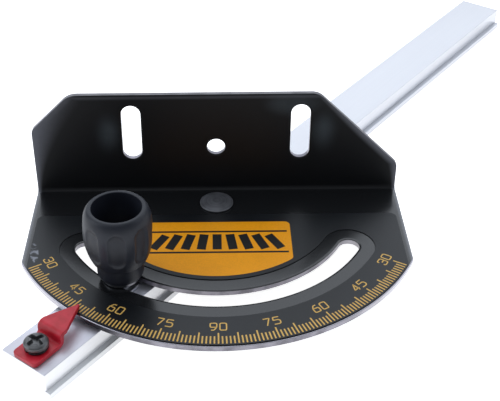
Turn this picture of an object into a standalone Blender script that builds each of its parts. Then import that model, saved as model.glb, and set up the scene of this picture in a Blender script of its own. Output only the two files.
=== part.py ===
"""Miter gauge: a protractor head that turns on a T-section guide bar.

Units are metres, +Z up. The bar runs along Y and its underside lies on Z = 0. The origin is the
point of the underside straight below the pivot pin, on whose axis the head turns. -Y is the
operator's end, with the pointer, and +Y is the far end. Heights stack up from the bar's underside:
bar, spacer, sheet, label, then the washer, knob and pointer.
"""

import math

import bmesh
import bpy
from mathutils import Matrix, Vector

MM = 0.001

# clearances
GAP = 0.3 * MM                     # between pieces that touch on the real object
FOIL_GAP = 0.1 * MM                # under the stuck-on label
POINTER_CLEARANCE = 0.35 * MM      # pointer's arrow above the label
POINTER_HOLE_CLEARANCE = 0.3 * MM  # round the pointer's screw

# guide bar, a T section with the flange at the bottom and a channel along its underside
BAR_WIDTH = 19.05 * MM
BAR_HEIGHT = 9.5 * MM
BAR_EDGE_CHAMFER = 0.4 * MM
FLANGE_WIDTH = 22.2 * MM
FLANGE_THICKNESS = 2.4 * MM
RELIEF_DEPTH = 0.8 * MM            # groove cut under the side walls, over the flange
RELIEF_HEIGHT = 0.8 * MM
CHANNEL_WIDTH = 10.2 * MM
CHANNEL_DEPTH = 3.7 * MM
CHANNEL_CORNER = 0.8 * MM          # cut across the channel's two upper corners
BAR_PAST_HEAD = 23.4 * MM          # rim of the head to the operator's end
BAR_FAR = 225.0 * MM               # pivot to the far end

# protractor head, one folded sheet
HEAD_ANGLE = math.radians(38.0)    # from square to the bar, as it stands
SHEET_THICKNESS = 2.1 * MM
HEAD_RADIUS = 75.7 * MM
HEAD_RIM_HALF_ANGLE = math.radians(63.6)  # rim's middle to the straight sides
HEAD_CORNER_RADIUS = 3.0 * MM      # where the rim meets the straight sides
FOLD_RADIUS = 1.5 * MM             # inside the fold
FENCE_SETBACK = 9.3 * MM           # pivot to the fence's near face
FENCE_HEIGHT = 41.3 * MM           # heights on the fence start at the sheet's top face
FENCE_SIDE_LEFT = 26.6 * MM        # height at which each side edge gives way to the cut corner
FENCE_SIDE_RIGHT = 10.7 * MM
FENCE_TOP_LEFT = 22.1 * MM         # slot's middle to where the top edge ends, on each side
FENCE_TOP_RIGHT = 6.2 * MM
FENCE_CORNER_RADIUS = 3.0 * MM
FENCE_SLOT_SPACING = 62.0 * MM
FENCE_SLOT_WIDTH = 7.1 * MM
FENCE_SLOT_LOW = 14.0 * MM         # height of the slot's lower end
FENCE_SLOT_TO_TOP = 4.5 * MM       # slot's upper end to the top edge
FENCE_HOLE_DIAMETER = 6.7 * MM
FENCE_HOLE_HEIGHT = 19.0 * MM
ARC_SLOT_FROM_RIM = 22.5 * MM      # rim to the middle of the slot
ARC_SLOT_WIDTH = 7.4 * MM
ARC_SLOT_HALF_ANGLE = math.radians(60.5)

# printed label, stuck on the sheet
LABEL_THICKNESS = 0.2 * MM
LABEL_RIM_MARGIN = 0.5 * MM
LABEL_SIDE_MARGIN = 2.2 * MM
LABEL_TOP_FROM_PIVOT = 7.3 * MM
LABEL_CORNER_RADIUS = 2.5 * MM
LABEL_WINDOW_WIDTH = 18.4 * MM     # bare steel left round the arc slot

# pivot pin and the spacer under the sheet
PIN_SHANK_RADIUS = 3.5 * MM
PIN_HEAD_RADIUS = 6.2 * MM
PIN_HEAD_HEIGHT = 1.3 * MM
PIN_HEAD_EDGE = 0.4 * MM
PIN_DEPTH_IN_BAR = 5.4 * MM
SPACER_THICKNESS = 0.9 * MM
SPACER_RADIUS = 7.0 * MM

# clamp: stud, washer, knob and its threaded insert
STUD_OFFSET = 0.2 * MM             # from the slot's middle, towards the pivot
STUD_RADIUS = 3.0 * MM
STUD_DEPTH_IN_BAR = 5.6 * MM
STUD_REACH = 16.0 * MM             # above the label
STUD_HEX_FLATS = 11.0 * MM         # six-sided collar that stands on the bar
STUD_HEX_TURN = math.radians(30.0)
STUD_TIP_CHAMFER = 0.6 * MM
WASHER_RADIUS = 6.3 * MM
WASHER_THICKNESS = 1.6 * MM
KNOB_HEIGHT = 27.1 * MM
KNOB_RADIUS = 11.7 * MM
KNOB_BELLY_HEIGHT = 19.1 * MM      # foot to the widest part
KNOB_COLLAR_RADIUS = 7.9 * MM
KNOB_COLLAR_HEIGHT = 6.3 * MM
KNOB_FOOT_CHAMFER = 0.5 * MM
KNOB_FOOT_CHAMFER_HEIGHT = 1.3 * MM
KNOB_SKIRT_STEP = 1.3 * MM         # body's lower edge past the collar
KNOB_SKIRT_RISE = 0.4 * MM
KNOB_TAPER_POWER = 2.3             # 1 is a straight taper, more is rounder
KNOB_LIP_RADIUS = 9.1 * MM
KNOB_CUP_RADIUS = 8.3 * MM
KNOB_CUP_DEPTH = 16.0 * MM
KNOB_FLUTES = 8
KNOB_FLUTE_WIDTH = math.radians(30.0)
KNOB_FLUTE_DEPTH = 1.2 * MM
KNOB_FLUTE_LOW = 9.7 * MM          # ends of a flute, above the foot
KNOB_FLUTE_HIGH = 23.8 * MM
KNOB_FLUTE_TURN = math.radians(-50.0)
INSERT_RADIUS = 5.0 * MM

# pointer and its screw
POINTER_THICKNESS = 1.6 * MM
POINTER_WIDTH = 10.2 * MM
POINTER_OVERLAP = 2.4 * MM         # tip over the head's rim
POINTER_RISER = 5.6 * MM           # screw to the riser's face
POINTER_INNER_FOLD = 0.8 * MM
POINTER_OUTER_FOLD = 2.1 * MM
POINTER_SHOULDER_LENGTH = 0.8 * MM  # straight part of the arrow, up to where it narrows
POINTER_CORNER_RADIUS = 1.6 * MM
POINTER_SHOULDER_RADIUS = 2.4 * MM
POINTER_TIP_ROUND = 0.4 * MM
POINTER_SIDE_SHIFT = 0.3 * MM      # the screw stands this far right of the bar's middle
POINTER_TURN = math.radians(0.9)   # trim that brings the tip over the bar's middle
SCREW_FROM_END = 6.0 * MM
SCREW_SHANK_RADIUS = 2.0 * MM
SCREW_DEPTH_IN_BAR = 5.2 * MM
SCREW_HEAD_RADIUS = 4.05 * MM
SCREW_HEAD_HEIGHT = 2.3 * MM
SCREW_HEAD_EDGE = 1.0 * MM
SCREW_CROSS_WIDTH = 1.0 * MM
SCREW_CROSS_LENGTH = 4.6 * MM
SCREW_CROSS_DEPTH = 1.3 * MM
SCREW_CROSS_TURN = math.radians(-8.0)
LOCK_WASHER_RADIUS = 3.9 * MM
LOCK_WASHER_THICKNESS = 0.8 * MM
LOCK_WASHER_SLIT = math.radians(14.0)

# how finely round shapes are divided
RIM_STEP = math.radians(2.5)
CORNER_STEP = math.radians(18.0)
SLOT_STEP = math.radians(3.0)
ROUND_STEPS = 40
SMALL_ROUND_STEPS = 28
KNOB_STEPS_PER_FLUTE = 12
KNOB_TAPER_RINGS = 12
KNOB_SHOULDER_RINGS = 9
FOLD_STEPS = 6
SMOOTH_ANGLE = math.radians(35.0)
DOME_STEPS = 5
ANGLE_SLACK = 1e-6                 # rounding allowed when angles are compared
CUT_OVERLAP = 1.0 * MM             # how far a cutter reaches past what it cuts
MERGE_DISTANCE = 0.001 * MM

# heights and distances worked out from the sizes above
SPACER_BOTTOM = BAR_HEIGHT + GAP
SHEET_BOTTOM = SPACER_BOTTOM + SPACER_THICKNESS + GAP
SHEET_TOP = SHEET_BOTTOM + SHEET_THICKNESS
LABEL_BOTTOM = SHEET_TOP + FOIL_GAP
LABEL_TOP = LABEL_BOTTOM + LABEL_THICKNESS
WASHER_BOTTOM = SHEET_TOP + GAP
WASHER_TOP = WASHER_BOTTOM + WASHER_THICKNESS
KNOB_BOTTOM = WASHER_TOP + GAP
KNOB_TOP = KNOB_BOTTOM + KNOB_HEIGHT
KNOB_FLOOR = KNOB_TOP - KNOB_CUP_DEPTH
HEAD_HALF_WIDTH = HEAD_RADIUS * math.sin(HEAD_RIM_HALF_ANGLE)
ARC_SLOT_RADIUS = HEAD_RADIUS - ARC_SLOT_FROM_RIM
STUD_FROM_PIVOT = ARC_SLOT_RADIUS - STUD_OFFSET
BAR_NEAR = HEAD_RADIUS + BAR_PAST_HEAD
SCREW_FROM_PIVOT = BAR_NEAR - SCREW_FROM_END
POINTER_BASE_BOTTOM = BAR_HEIGHT + GAP
POINTER_BASE_TOP = POINTER_BASE_BOTTOM + POINTER_THICKNESS
POINTER_ARROW_TOP = LABEL_TOP + POINTER_CLEARANCE + POINTER_THICKNESS
LOCK_WASHER_BOTTOM = POINTER_BASE_TOP + GAP
SCREW_HEAD_BOTTOM = LOCK_WASHER_BOTTOM + LOCK_WASHER_THICKNESS + GAP

COLOURS = {
    "bright_aluminium": ((0.80, 0.80, 0.84), 0.28, 1.0),
    "black_enamel": ((0.012, 0.013, 0.016), 0.16, 0.0),
    "printed_label": ((0.040, 0.044, 0.050), 0.55, 0.0),
    "dark_steel": ((0.10, 0.10, 0.11), 0.30, 1.0),
    "zinc_steel": ((0.55, 0.56, 0.58), 0.32, 1.0),
    "brass": ((0.62, 0.45, 0.18), 0.30, 1.0),
    "slate_rubber": ((0.050, 0.056, 0.066), 0.55, 0.0),
    "red_enamel": ((0.50, 0.018, 0.028), 0.30, 0.0),
    "black_oxide": ((0.022, 0.022, 0.024), 0.38, 0.9),
}


def clear_scene():
    """Remove what the file opened with."""
    for item in list(bpy.data.objects):
        bpy.data.objects.remove(item, do_unlink=True)


def finish(name):
    """Return the named finish as a material, made the first time it is asked for."""
    if name in bpy.data.materials:
        return bpy.data.materials[name]
    colour, roughness, metallic = COLOURS[name]
    material = bpy.data.materials.new(name)
    material.use_nodes = True
    shader = material.node_tree.nodes["Principled BSDF"]
    shader.inputs["Base Color"].default_value = (*colour, 1.0)
    shader.inputs["Roughness"].default_value = roughness
    shader.inputs["Metallic"].default_value = metallic
    return material


def carrier(name, place, turn=0.0):
    """Return an empty that stands on a joint's axis and carries the pieces that move with it."""
    empty = bpy.data.objects.new(name, None)
    empty.location = place
    empty.rotation_euler = (0.0, 0.0, turn)
    bpy.context.collection.objects.link(empty)
    return empty


def piece(name, mesh_data, material, parent=None, place=(0.0, 0.0, 0.0), turn=0.0):
    """Turn a bmesh into a named, smooth-shaded object under its parent."""
    bmesh.ops.remove_doubles(mesh_data, verts=mesh_data.verts, dist=MERGE_DISTANCE)
    bmesh.ops.recalc_face_normals(mesh_data, faces=mesh_data.faces)
    mesh = bpy.data.meshes.new(name)
    mesh_data.to_mesh(mesh)
    mesh_data.free()
    mesh.materials.append(finish(material))
    mesh.shade_smooth()
    mesh.set_sharp_from_angle(angle=SMOOTH_ANGLE)
    item = bpy.data.objects.new(name, mesh)
    item.parent = parent
    item.location = place
    item.rotation_euler = (0.0, 0.0, turn)
    bpy.context.collection.objects.link(item)
    return item


def combine(target, guide, operation):
    """Cut the guide out of the target, or join it on. The guide stays, but isn't a piece."""
    guide.hide_render = True
    guide.display_type = "WIRE"
    boolean = target.modifiers.new(guide.name, "BOOLEAN")
    boolean.operation = operation
    boolean.solver = "EXACT"
    boolean.object = guide


def arc(centre, radius, start, end, step):
    """Return points along an arc, both ends included, no further apart than step."""
    count = max(1, math.ceil(abs(end - start) / step - ANGLE_SLACK))
    angles = [start + (end - start) * i / count for i in range(count + 1)]
    return [(centre[0] + radius * math.cos(a), centre[1] + radius * math.sin(a)) for a in angles]


def circle(centre, radius, steps):
    """Return the points of a full circle."""
    return arc(centre, radius, 0.0, 2.0 * math.pi, 2.0 * math.pi / steps)[:-1]


def rounded(corner, before, after, radius):
    """Return the points of a fillet at a corner between its neighbours before and after."""
    corner, before, after = Vector(corner), Vector(before), Vector(after)
    towards_before = (before - corner).normalized()
    towards_after = (after - corner).normalized()
    half = towards_before.angle(towards_after) / 2.0
    centre = corner + (towards_before + towards_after).normalized() * (radius / math.sin(half))
    first = corner + towards_before * (radius / math.tan(half)) - centre
    last = corner + towards_after * (radius / math.tan(half)) - centre
    start = math.atan2(first.y, first.x)
    sweep = math.atan2(first.x * last.y - first.y * last.x, first.dot(last))
    return arc(centre, radius, start, start + sweep, CORNER_STEP)


def rounded_outline(corners):
    """Return an outline from (x, y, radius) corners, each with a fillet where its radius isn't 0."""
    points = []
    for i, (x, y, radius) in enumerate(corners):
        before = corners[i - 1][:2]
        after = corners[(i + 1) % len(corners)][:2]
        points += rounded((x, y), before, after, radius) if radius else [(x, y)]
    return points


def sector_outline(half_width, radius, corner_radius, far_edge, far_corner_radius):
    """Return a disc's near part, cut straight at both sides and along its far edge.

    The fillet between a side and the rim touches both: its centre lies a corner radius inside
    the side and inside the rim.
    """
    centre_x = half_width - corner_radius
    centre_y = -math.sqrt((radius - corner_radius) ** 2 - centre_x ** 2)
    rim_angle = math.atan2(centre_y, centre_x)
    points = arc((0.0, 0.0), radius, math.pi - rim_angle, 2.0 * math.pi + rim_angle, RIM_STEP)
    points += arc((centre_x, centre_y), corner_radius, rim_angle, 0.0, CORNER_STEP)[1:]
    far_right, far_left = (half_width, far_edge), (-half_width, far_edge)
    if far_corner_radius:
        points += rounded(far_right, (half_width, centre_y), far_left, far_corner_radius)
        points += rounded(far_left, far_right, (-half_width, centre_y), far_corner_radius)
    else:
        points += [far_right, far_left]
    points += arc((-centre_x, centre_y), corner_radius, math.pi, math.pi - rim_angle, CORNER_STEP)[:-1]
    return points


def arc_slot_outline(width):
    """Return a slot bent round the pivot, with round ends and its middle on the near side."""
    half, radius = width / 2.0, ARC_SLOT_RADIUS
    near = -math.pi / 2.0
    start, end = near - ARC_SLOT_HALF_ANGLE, near + ARC_SLOT_HALF_ANGLE
    start_centre = (radius * math.cos(start), radius * math.sin(start))
    end_centre = (radius * math.cos(end), radius * math.sin(end))
    outline = arc((0.0, 0.0), radius + half, start, end, SLOT_STEP)
    outline += arc(end_centre, half, end, end + math.pi, CORNER_STEP)[1:-1]
    outline += arc((0.0, 0.0), radius - half, end, start, SLOT_STEP)
    outline += arc(start_centre, half, start + math.pi, start + 2.0 * math.pi, CORNER_STEP)[1:-1]
    return outline


def upright_slot_outline(centre_x, low, high, width):
    """Return a straight slot with round ends."""
    half = width / 2.0
    outline = arc((centre_x, low + half), half, math.pi, 2.0 * math.pi, CORNER_STEP)
    outline += arc((centre_x, high - half), half, 0.0, math.pi, CORNER_STEP)
    return outline


def add_flat(mesh_data, outline, holes=()):
    """Fill a flat outline that has holes, in the XY plane of a bmesh."""
    edges = []
    for loop in (outline, *holes):
        corners = [mesh_data.verts.new((x, y, 0.0)) for x, y in loop]
        edges += [mesh_data.edges.new((corners[i - 1], corners[i])) for i in range(len(corners))]
    bmesh.ops.triangle_fill(
        mesh_data, use_beauty=True, use_dissolve=False, edges=edges, normal=(0.0, 0.0, 1.0))


def add_thickness(mesh_data, thickness, upward):
    """Give a surface its thickness below it, along the direction that upward gives for a vertex."""
    for face in mesh_data.faces:
        face.normal_update()
    top_faces = list(mesh_data.faces)
    rim = [edge for edge in mesh_data.edges if len(edge.link_faces) == 1]
    below = {}
    for vert in list(mesh_data.verts):
        below[vert] = mesh_data.verts.new(vert.co - upward[vert] * thickness)
    for face in top_faces:
        mesh_data.faces.new([below[vert] for vert in reversed(face.verts)])
    for edge in rim:
        first, last = edge.verts
        mesh_data.faces.new((first, last, below[last], below[first]))


def flat_sheet(outline, holes, bottom, top):
    """Return a flat sheet of even thickness as a bmesh."""
    mesh_data = bmesh.new()
    add_flat(mesh_data, outline, holes)
    bmesh.ops.translate(mesh_data, verts=mesh_data.verts, vec=(0.0, 0.0, top))
    up = Vector((0.0, 0.0, 1.0))
    add_thickness(mesh_data, top - bottom, {vert: up for vert in mesh_data.verts})
    return mesh_data


class Fold:
    """The side view of a folded sheet, as straight runs and bends laid end to end.

    It starts at a point of the YZ plane, heading along +Y. A run is (length, 0), and a bend is
    (length along the sheet's top face, turn in radians), turning up where the turn is positive.
    """

    def __init__(self, start, runs):
        self.start = start
        self.runs = runs

    def at(self, distance):
        """Return the point, and the direction that faces up from the sheet, at a distance along it."""
        y, z = self.start
        heading = 0.0
        left = distance
        for length, turn in self.runs:
            travelled = min(left, length)
            if turn:
                radius = length / turn
                new_heading = heading + travelled / radius
                y += radius * (math.sin(new_heading) - math.sin(heading))
                z += radius * (math.cos(heading) - math.cos(new_heading))
                heading = new_heading
            else:
                y += travelled * math.cos(heading)
                z += travelled * math.sin(heading)
            left -= travelled
            if left <= 0.0:
                break
        return y, z, Vector((0.0, -math.sin(heading), math.cos(heading)))

    def ends(self, index):
        """Return where a run starts and ends along the sheet."""
        start = sum(length for length, _ in self.runs[:index])
        return start, start + self.runs[index][0]


def folded_sheet(fold, panels, half_width, thickness):
    """Return a folded sheet as a bmesh: its blank is filled flat, folded, and given its thickness.

    Panels maps the index of a straight run to its outline and holes, drawn on the flat blank with
    the fold's own distances as Y. A run without a panel is a plain strip of the half width.
    """
    mesh_data = bmesh.new()
    for index, (_, turn) in enumerate(fold.runs):
        start, end = fold.ends(index)
        if index in panels:
            outline, holes = panels[index]
            add_flat(mesh_data, outline, holes)
            continue
        steps = FOLD_STEPS if turn else 1
        for step in range(steps):
            low = start + (end - start) * step / steps
            high = start + (end - start) * (step + 1) / steps
            left, right = -half_width, half_width
            add_flat(mesh_data, [(left, low), (right, low), (right, high), (left, high)])
    bmesh.ops.remove_doubles(mesh_data, verts=mesh_data.verts, dist=MERGE_DISTANCE)
    bmesh.ops.recalc_face_normals(mesh_data, faces=mesh_data.faces)
    upward = {}
    for vert in mesh_data.verts:
        y, z, up = fold.at(vert.co.y)
        vert.co = (vert.co.x, y, z)
        upward[vert] = up
    add_thickness(mesh_data, thickness, upward)
    return mesh_data


def turned(profile, steps, turn=2.0 * math.pi):
    """Return a profile of (radius, height) points, spun round Z, as a bmesh.

    A profile that starts and ends on the axis closes there. Any other profile is a loop, and
    a part turn is closed with flat ends.
    """
    mesh_data = bmesh.new()
    corners = [mesh_data.verts.new((radius, 0.0, height)) for radius, height in profile]
    full = turn > 2.0 * math.pi - ANGLE_SLACK
    on_axis = profile[0][0] == 0.0
    edges = [mesh_data.edges.new(pair) for pair in zip(corners, corners[1:])]
    if not on_axis:
        edges.append(mesh_data.edges.new((corners[-1], corners[0])))
    spun = bmesh.ops.spin(
        mesh_data, geom=corners + edges, cent=(0.0, 0.0, 0.0), axis=(0.0, 0.0, 1.0),
        angle=turn, steps=steps, use_merge=full, use_duplicate=False)
    if not full:
        mesh_data.faces.new(corners)
        mesh_data.faces.new([part for part in spun["geom_last"] if isinstance(part, bmesh.types.BMVert)])
    return mesh_data


def prism(outline, bottom, top):
    """Return an outline of the XY plane pulled straight up, as a bmesh."""
    return flat_sheet(outline, (), bottom, top)


def build_bar():
    """The guide bar: a T section pulled along Y, drilled through to its channel in three places."""
    half, flange, inner = BAR_WIDTH / 2.0, FLANGE_WIDTH / 2.0, BAR_WIDTH / 2.0 - RELIEF_DEPTH
    wall_foot = FLANGE_THICKNESS + RELIEF_HEIGHT
    chamfer = BAR_EDGE_CHAMFER
    side, corner = CHANNEL_WIDTH / 2.0, CHANNEL_CORNER
    right = [
        (side - corner, CHANNEL_DEPTH), (side, CHANNEL_DEPTH - corner), (side, 0.0),
        (flange - chamfer, 0.0), (flange, chamfer),
        (flange, FLANGE_THICKNESS - chamfer), (flange - chamfer, FLANGE_THICKNESS),
        (inner, FLANGE_THICKNESS), (inner, wall_foot), (half, wall_foot),
        (half, BAR_HEIGHT - chamfer), (half - chamfer, BAR_HEIGHT),
    ]
    section = right + [(-x, z) for x, z in reversed(right)]
    mesh_data = bmesh.new()
    near = [mesh_data.verts.new((x, -BAR_NEAR, z)) for x, z in section]
    face = mesh_data.faces.new(near)
    pulled = bmesh.ops.extrude_face_region(mesh_data, geom=[face])
    far = [part for part in pulled["geom"] if isinstance(part, bmesh.types.BMVert)]
    bmesh.ops.translate(mesh_data, verts=far, vec=(0.0, BAR_NEAR + BAR_FAR, 0.0))
    bar = piece("miter_bar", mesh_data, "bright_aluminium")
    holes = {
        "pivot": (0.0, 0.0, PIN_SHANK_RADIUS),
        "stud": (0.0, -STUD_FROM_PIVOT, STUD_RADIUS),
        "screw": (POINTER_SIDE_SHIFT, -SCREW_FROM_PIVOT, SCREW_SHANK_RADIUS),
    }
    for name, (x, y, radius) in holes.items():
        drill = prism(circle((x, y), radius + GAP, SMALL_ROUND_STEPS),
                      CHANNEL_DEPTH - CUT_OVERLAP, BAR_HEIGHT + CUT_OVERLAP)
        combine(bar, piece("drill_" + name, drill, "dark_steel"), "DIFFERENCE")


def build_head(parent):
    """The head: one blank with its slots and holes, folded up into the fence."""
    flat_end = FENCE_SETBACK - FOLD_RADIUS
    fold_length = FOLD_RADIUS * math.pi / 2.0
    fence_length = FENCE_HEIGHT - FOLD_RADIUS
    plate_length = HEAD_RADIUS + flat_end
    runs = [(plate_length, 0.0), (fold_length, math.pi / 2.0), (fence_length, 0.0)]
    fold = Fold((-HEAD_RADIUS, SHEET_TOP), runs)

    def on_plate(points):
        return [(x, y + HEAD_RADIUS) for x, y in points]

    fence_start = fold.ends(2)[0]

    def on_fence(points):
        return [(x, height - FOLD_RADIUS + fence_start) for x, height in points]

    half = HEAD_HALF_WIDTH
    plate = sector_outline(half, HEAD_RADIUS, HEAD_CORNER_RADIUS, flat_end, 0.0)
    pivot_hole = circle((0.0, 0.0), PIN_SHANK_RADIUS + GAP, SMALL_ROUND_STEPS)
    slot_x = FENCE_SLOT_SPACING / 2.0
    fence = rounded_outline([
        (-half, FOLD_RADIUS, 0.0), (half, FOLD_RADIUS, 0.0),
        (half, FENCE_SIDE_RIGHT, FENCE_CORNER_RADIUS),
        (slot_x + FENCE_TOP_RIGHT, FENCE_HEIGHT, FENCE_CORNER_RADIUS),
        (-slot_x - FENCE_TOP_LEFT, FENCE_HEIGHT, FENCE_CORNER_RADIUS),
        (-half, FENCE_SIDE_LEFT, FENCE_CORNER_RADIUS),
    ])
    fence_holes = [circle((0.0, FENCE_HOLE_HEIGHT), FENCE_HOLE_DIAMETER / 2.0, SMALL_ROUND_STEPS)]
    slot_high = FENCE_HEIGHT - FENCE_SLOT_TO_TOP
    for centre_x in (-slot_x, slot_x):
        fence_holes.append(upright_slot_outline(centre_x, FENCE_SLOT_LOW, slot_high, FENCE_SLOT_WIDTH))
    panels = {
        0: (on_plate(plate), [on_plate(arc_slot_outline(ARC_SLOT_WIDTH)), on_plate(pivot_hole)]),
        2: (on_fence(fence), [on_fence(hole) for hole in fence_holes]),
    }
    sheet = folded_sheet(fold, panels, half, SHEET_THICKNESS)
    piece("protractor_head", sheet, "black_enamel", parent)


def build_label(parent):
    """The printed label: it leaves the rim, the sides and a band round the arc slot bare."""
    half = HEAD_HALF_WIDTH - LABEL_SIDE_MARGIN
    radius = HEAD_RADIUS - LABEL_RIM_MARGIN
    outline = sector_outline(half, radius, LABEL_CORNER_RADIUS, -LABEL_TOP_FROM_PIVOT, LABEL_CORNER_RADIUS)
    label = flat_sheet(outline, [arc_slot_outline(LABEL_WINDOW_WIDTH)], LABEL_BOTTOM, LABEL_TOP)
    piece("scale_label", label, "printed_label", parent)


def build_pivot():
    """The pivot pin with its low domed head, and the spacer between bar and sheet."""
    foot = BAR_HEIGHT - PIN_DEPTH_IN_BAR
    seat = SHEET_TOP + GAP
    rise = PIN_HEAD_HEIGHT - PIN_HEAD_EDGE
    dome_radius = (PIN_HEAD_RADIUS ** 2 + rise ** 2) / (2.0 * rise)
    dome_centre = seat + PIN_HEAD_HEIGHT - dome_radius
    spread = math.asin(PIN_HEAD_RADIUS / dome_radius)
    profile = [(0.0, foot), (PIN_SHANK_RADIUS, foot), (PIN_SHANK_RADIUS, seat), (PIN_HEAD_RADIUS, seat)]
    for i in range(DOME_STEPS):
        lean = spread * (1.0 - i / DOME_STEPS)
        profile.append((dome_radius * math.sin(lean), dome_centre + dome_radius * math.cos(lean)))
    profile.append((0.0, seat + PIN_HEAD_HEIGHT))
    piece("pivot_pin", turned(profile, ROUND_STEPS), "dark_steel")
    bore = PIN_SHANK_RADIUS + GAP
    top = SPACER_BOTTOM + SPACER_THICKNESS
    ring = [(bore, SPACER_BOTTOM), (SPACER_RADIUS, SPACER_BOTTOM), (SPACER_RADIUS, top), (bore, top)]
    piece("pivot_spacer", turned(ring, ROUND_STEPS), "zinc_steel")


def build_stud():
    """The clamp stud, with a thin six-sided collar that stands on the bar under the sheet."""
    foot = BAR_HEIGHT - STUD_DEPTH_IN_BAR
    top = LABEL_TOP + STUD_REACH
    profile = [
        (0.0, foot), (STUD_RADIUS, foot), (STUD_RADIUS, top - STUD_TIP_CHAMFER),
        (STUD_RADIUS - STUD_TIP_CHAMFER, top), (0.0, top),
    ]
    place = (0.0, -STUD_FROM_PIVOT, 0.0)
    stud = piece("clamp_stud", turned(profile, SMALL_ROUND_STEPS), "zinc_steel", place=place)
    corner = STUD_HEX_FLATS / math.sqrt(3.0)
    collar = prism(circle((0.0, 0.0), corner, 6), SPACER_BOTTOM, SPACER_BOTTOM + SPACER_THICKNESS)
    guide = piece("stud_collar", collar, "zinc_steel", place=place, turn=STUD_HEX_TURN)
    combine(stud, guide, "UNION")


def knob_profile():
    """Return the knob's outer (radius, height) points between its flutes, from foot to lip.

    A plain collar stands on a chamfered foot. The body starts with a small step out, swells to
    the belly in a rounded taper, and closes in to the lip along a quarter of an ellipse.
    """
    collar_top = KNOB_BOTTOM + KNOB_COLLAR_HEIGHT
    skirt = collar_top + KNOB_SKIRT_RISE
    skirt_radius = KNOB_COLLAR_RADIUS + KNOB_SKIRT_STEP
    belly = KNOB_BOTTOM + KNOB_BELLY_HEIGHT
    points = [
        (KNOB_COLLAR_RADIUS - KNOB_FOOT_CHAMFER, KNOB_BOTTOM),
        (KNOB_COLLAR_RADIUS, KNOB_BOTTOM + KNOB_FOOT_CHAMFER_HEIGHT),
        (KNOB_COLLAR_RADIUS, collar_top),
    ]
    for i in range(KNOB_TAPER_RINGS + 1):
        left = 1.0 - i / KNOB_TAPER_RINGS
        radius = KNOB_RADIUS - (KNOB_RADIUS - skirt_radius) * left ** KNOB_TAPER_POWER
        points.append((radius, belly - (belly - skirt) * left))
    for i in range(1, KNOB_SHOULDER_RINGS + 1):
        turn = i / KNOB_SHOULDER_RINGS * math.pi / 2.0
        radius = KNOB_LIP_RADIUS + (KNOB_RADIUS - KNOB_LIP_RADIUS) * math.cos(turn)
        points.append((radius, belly + (KNOB_TOP - belly) * math.sin(turn)))
    return points


def flute_depth(angle, height):
    """Return how deep the flutes cut at an angle round the knob and a height.

    A flute is a round-ended groove. Its depth falls with the cube of the distance from its middle
    line, so that its floor is nearly flat and its edge is crisp.
    """
    pitch = 2.0 * math.pi / KNOB_FLUTES
    offset = (angle + pitch / 2.0) % pitch - pitch / 2.0
    half = KNOB_RADIUS * KNOB_FLUTE_WIDTH / 2.0
    low = KNOB_BOTTOM + KNOB_FLUTE_LOW + half
    high = KNOB_BOTTOM + KNOB_FLUTE_HIGH - half
    past_end = max(height - high, low - height, 0.0)
    distance = math.hypot(KNOB_RADIUS * offset, past_end) / half
    return KNOB_FLUTE_DEPTH * (1.0 - min(distance, 1.0) ** 3)


def build_knob(parent):
    """The knob: a fluted cup, open at the top, bored through for its insert."""
    bore = INSERT_RADIUS + GAP
    inner = [
        (KNOB_CUP_RADIUS, KNOB_TOP), (KNOB_CUP_RADIUS, KNOB_FLOOR), (bore, KNOB_FLOOR), (bore, KNOB_BOTTOM),
    ]
    steps = KNOB_FLUTES * KNOB_STEPS_PER_FLUTE
    angles = [2.0 * math.pi * i / steps for i in range(steps)]
    reaches = [
        (height, [radius - flute_depth(angle, height) for angle in angles])
        for radius, height in knob_profile()
    ]
    reaches += [(height, [radius] * steps) for radius, height in inner]
    mesh_data = bmesh.new()
    rings = []
    for height, reach in reaches:
        rings.append([
            mesh_data.verts.new((out * math.cos(angle), out * math.sin(angle), height))
            for out, angle in zip(reach, angles)
        ])
    for i, ring in enumerate(rings):
        below = rings[i - 1]
        for j in range(steps):
            mesh_data.faces.new((below[j - 1], below[j], ring[j], ring[j - 1]))
    piece("clamp_knob", mesh_data, "slate_rubber", parent, turn=KNOB_FLUTE_TURN)
    foot, top, thread = KNOB_BOTTOM + GAP, KNOB_FLOOR, STUD_RADIUS + GAP
    ring = [(thread, foot), (INSERT_RADIUS, foot), (INSERT_RADIUS, top), (thread, top)]
    piece("knob_insert", turned(ring, ROUND_STEPS), "brass", parent)


def build_washer(parent):
    """The flat washer that stays on the knob's foot and presses on the bare band."""
    bore, radius = STUD_RADIUS + GAP, WASHER_RADIUS
    ring = [(bore, WASHER_BOTTOM), (radius, WASHER_BOTTOM), (radius, WASHER_TOP), (bore, WASHER_TOP)]
    piece("clamp_washer", turned(ring, ROUND_STEPS), "zinc_steel", parent)


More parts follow.
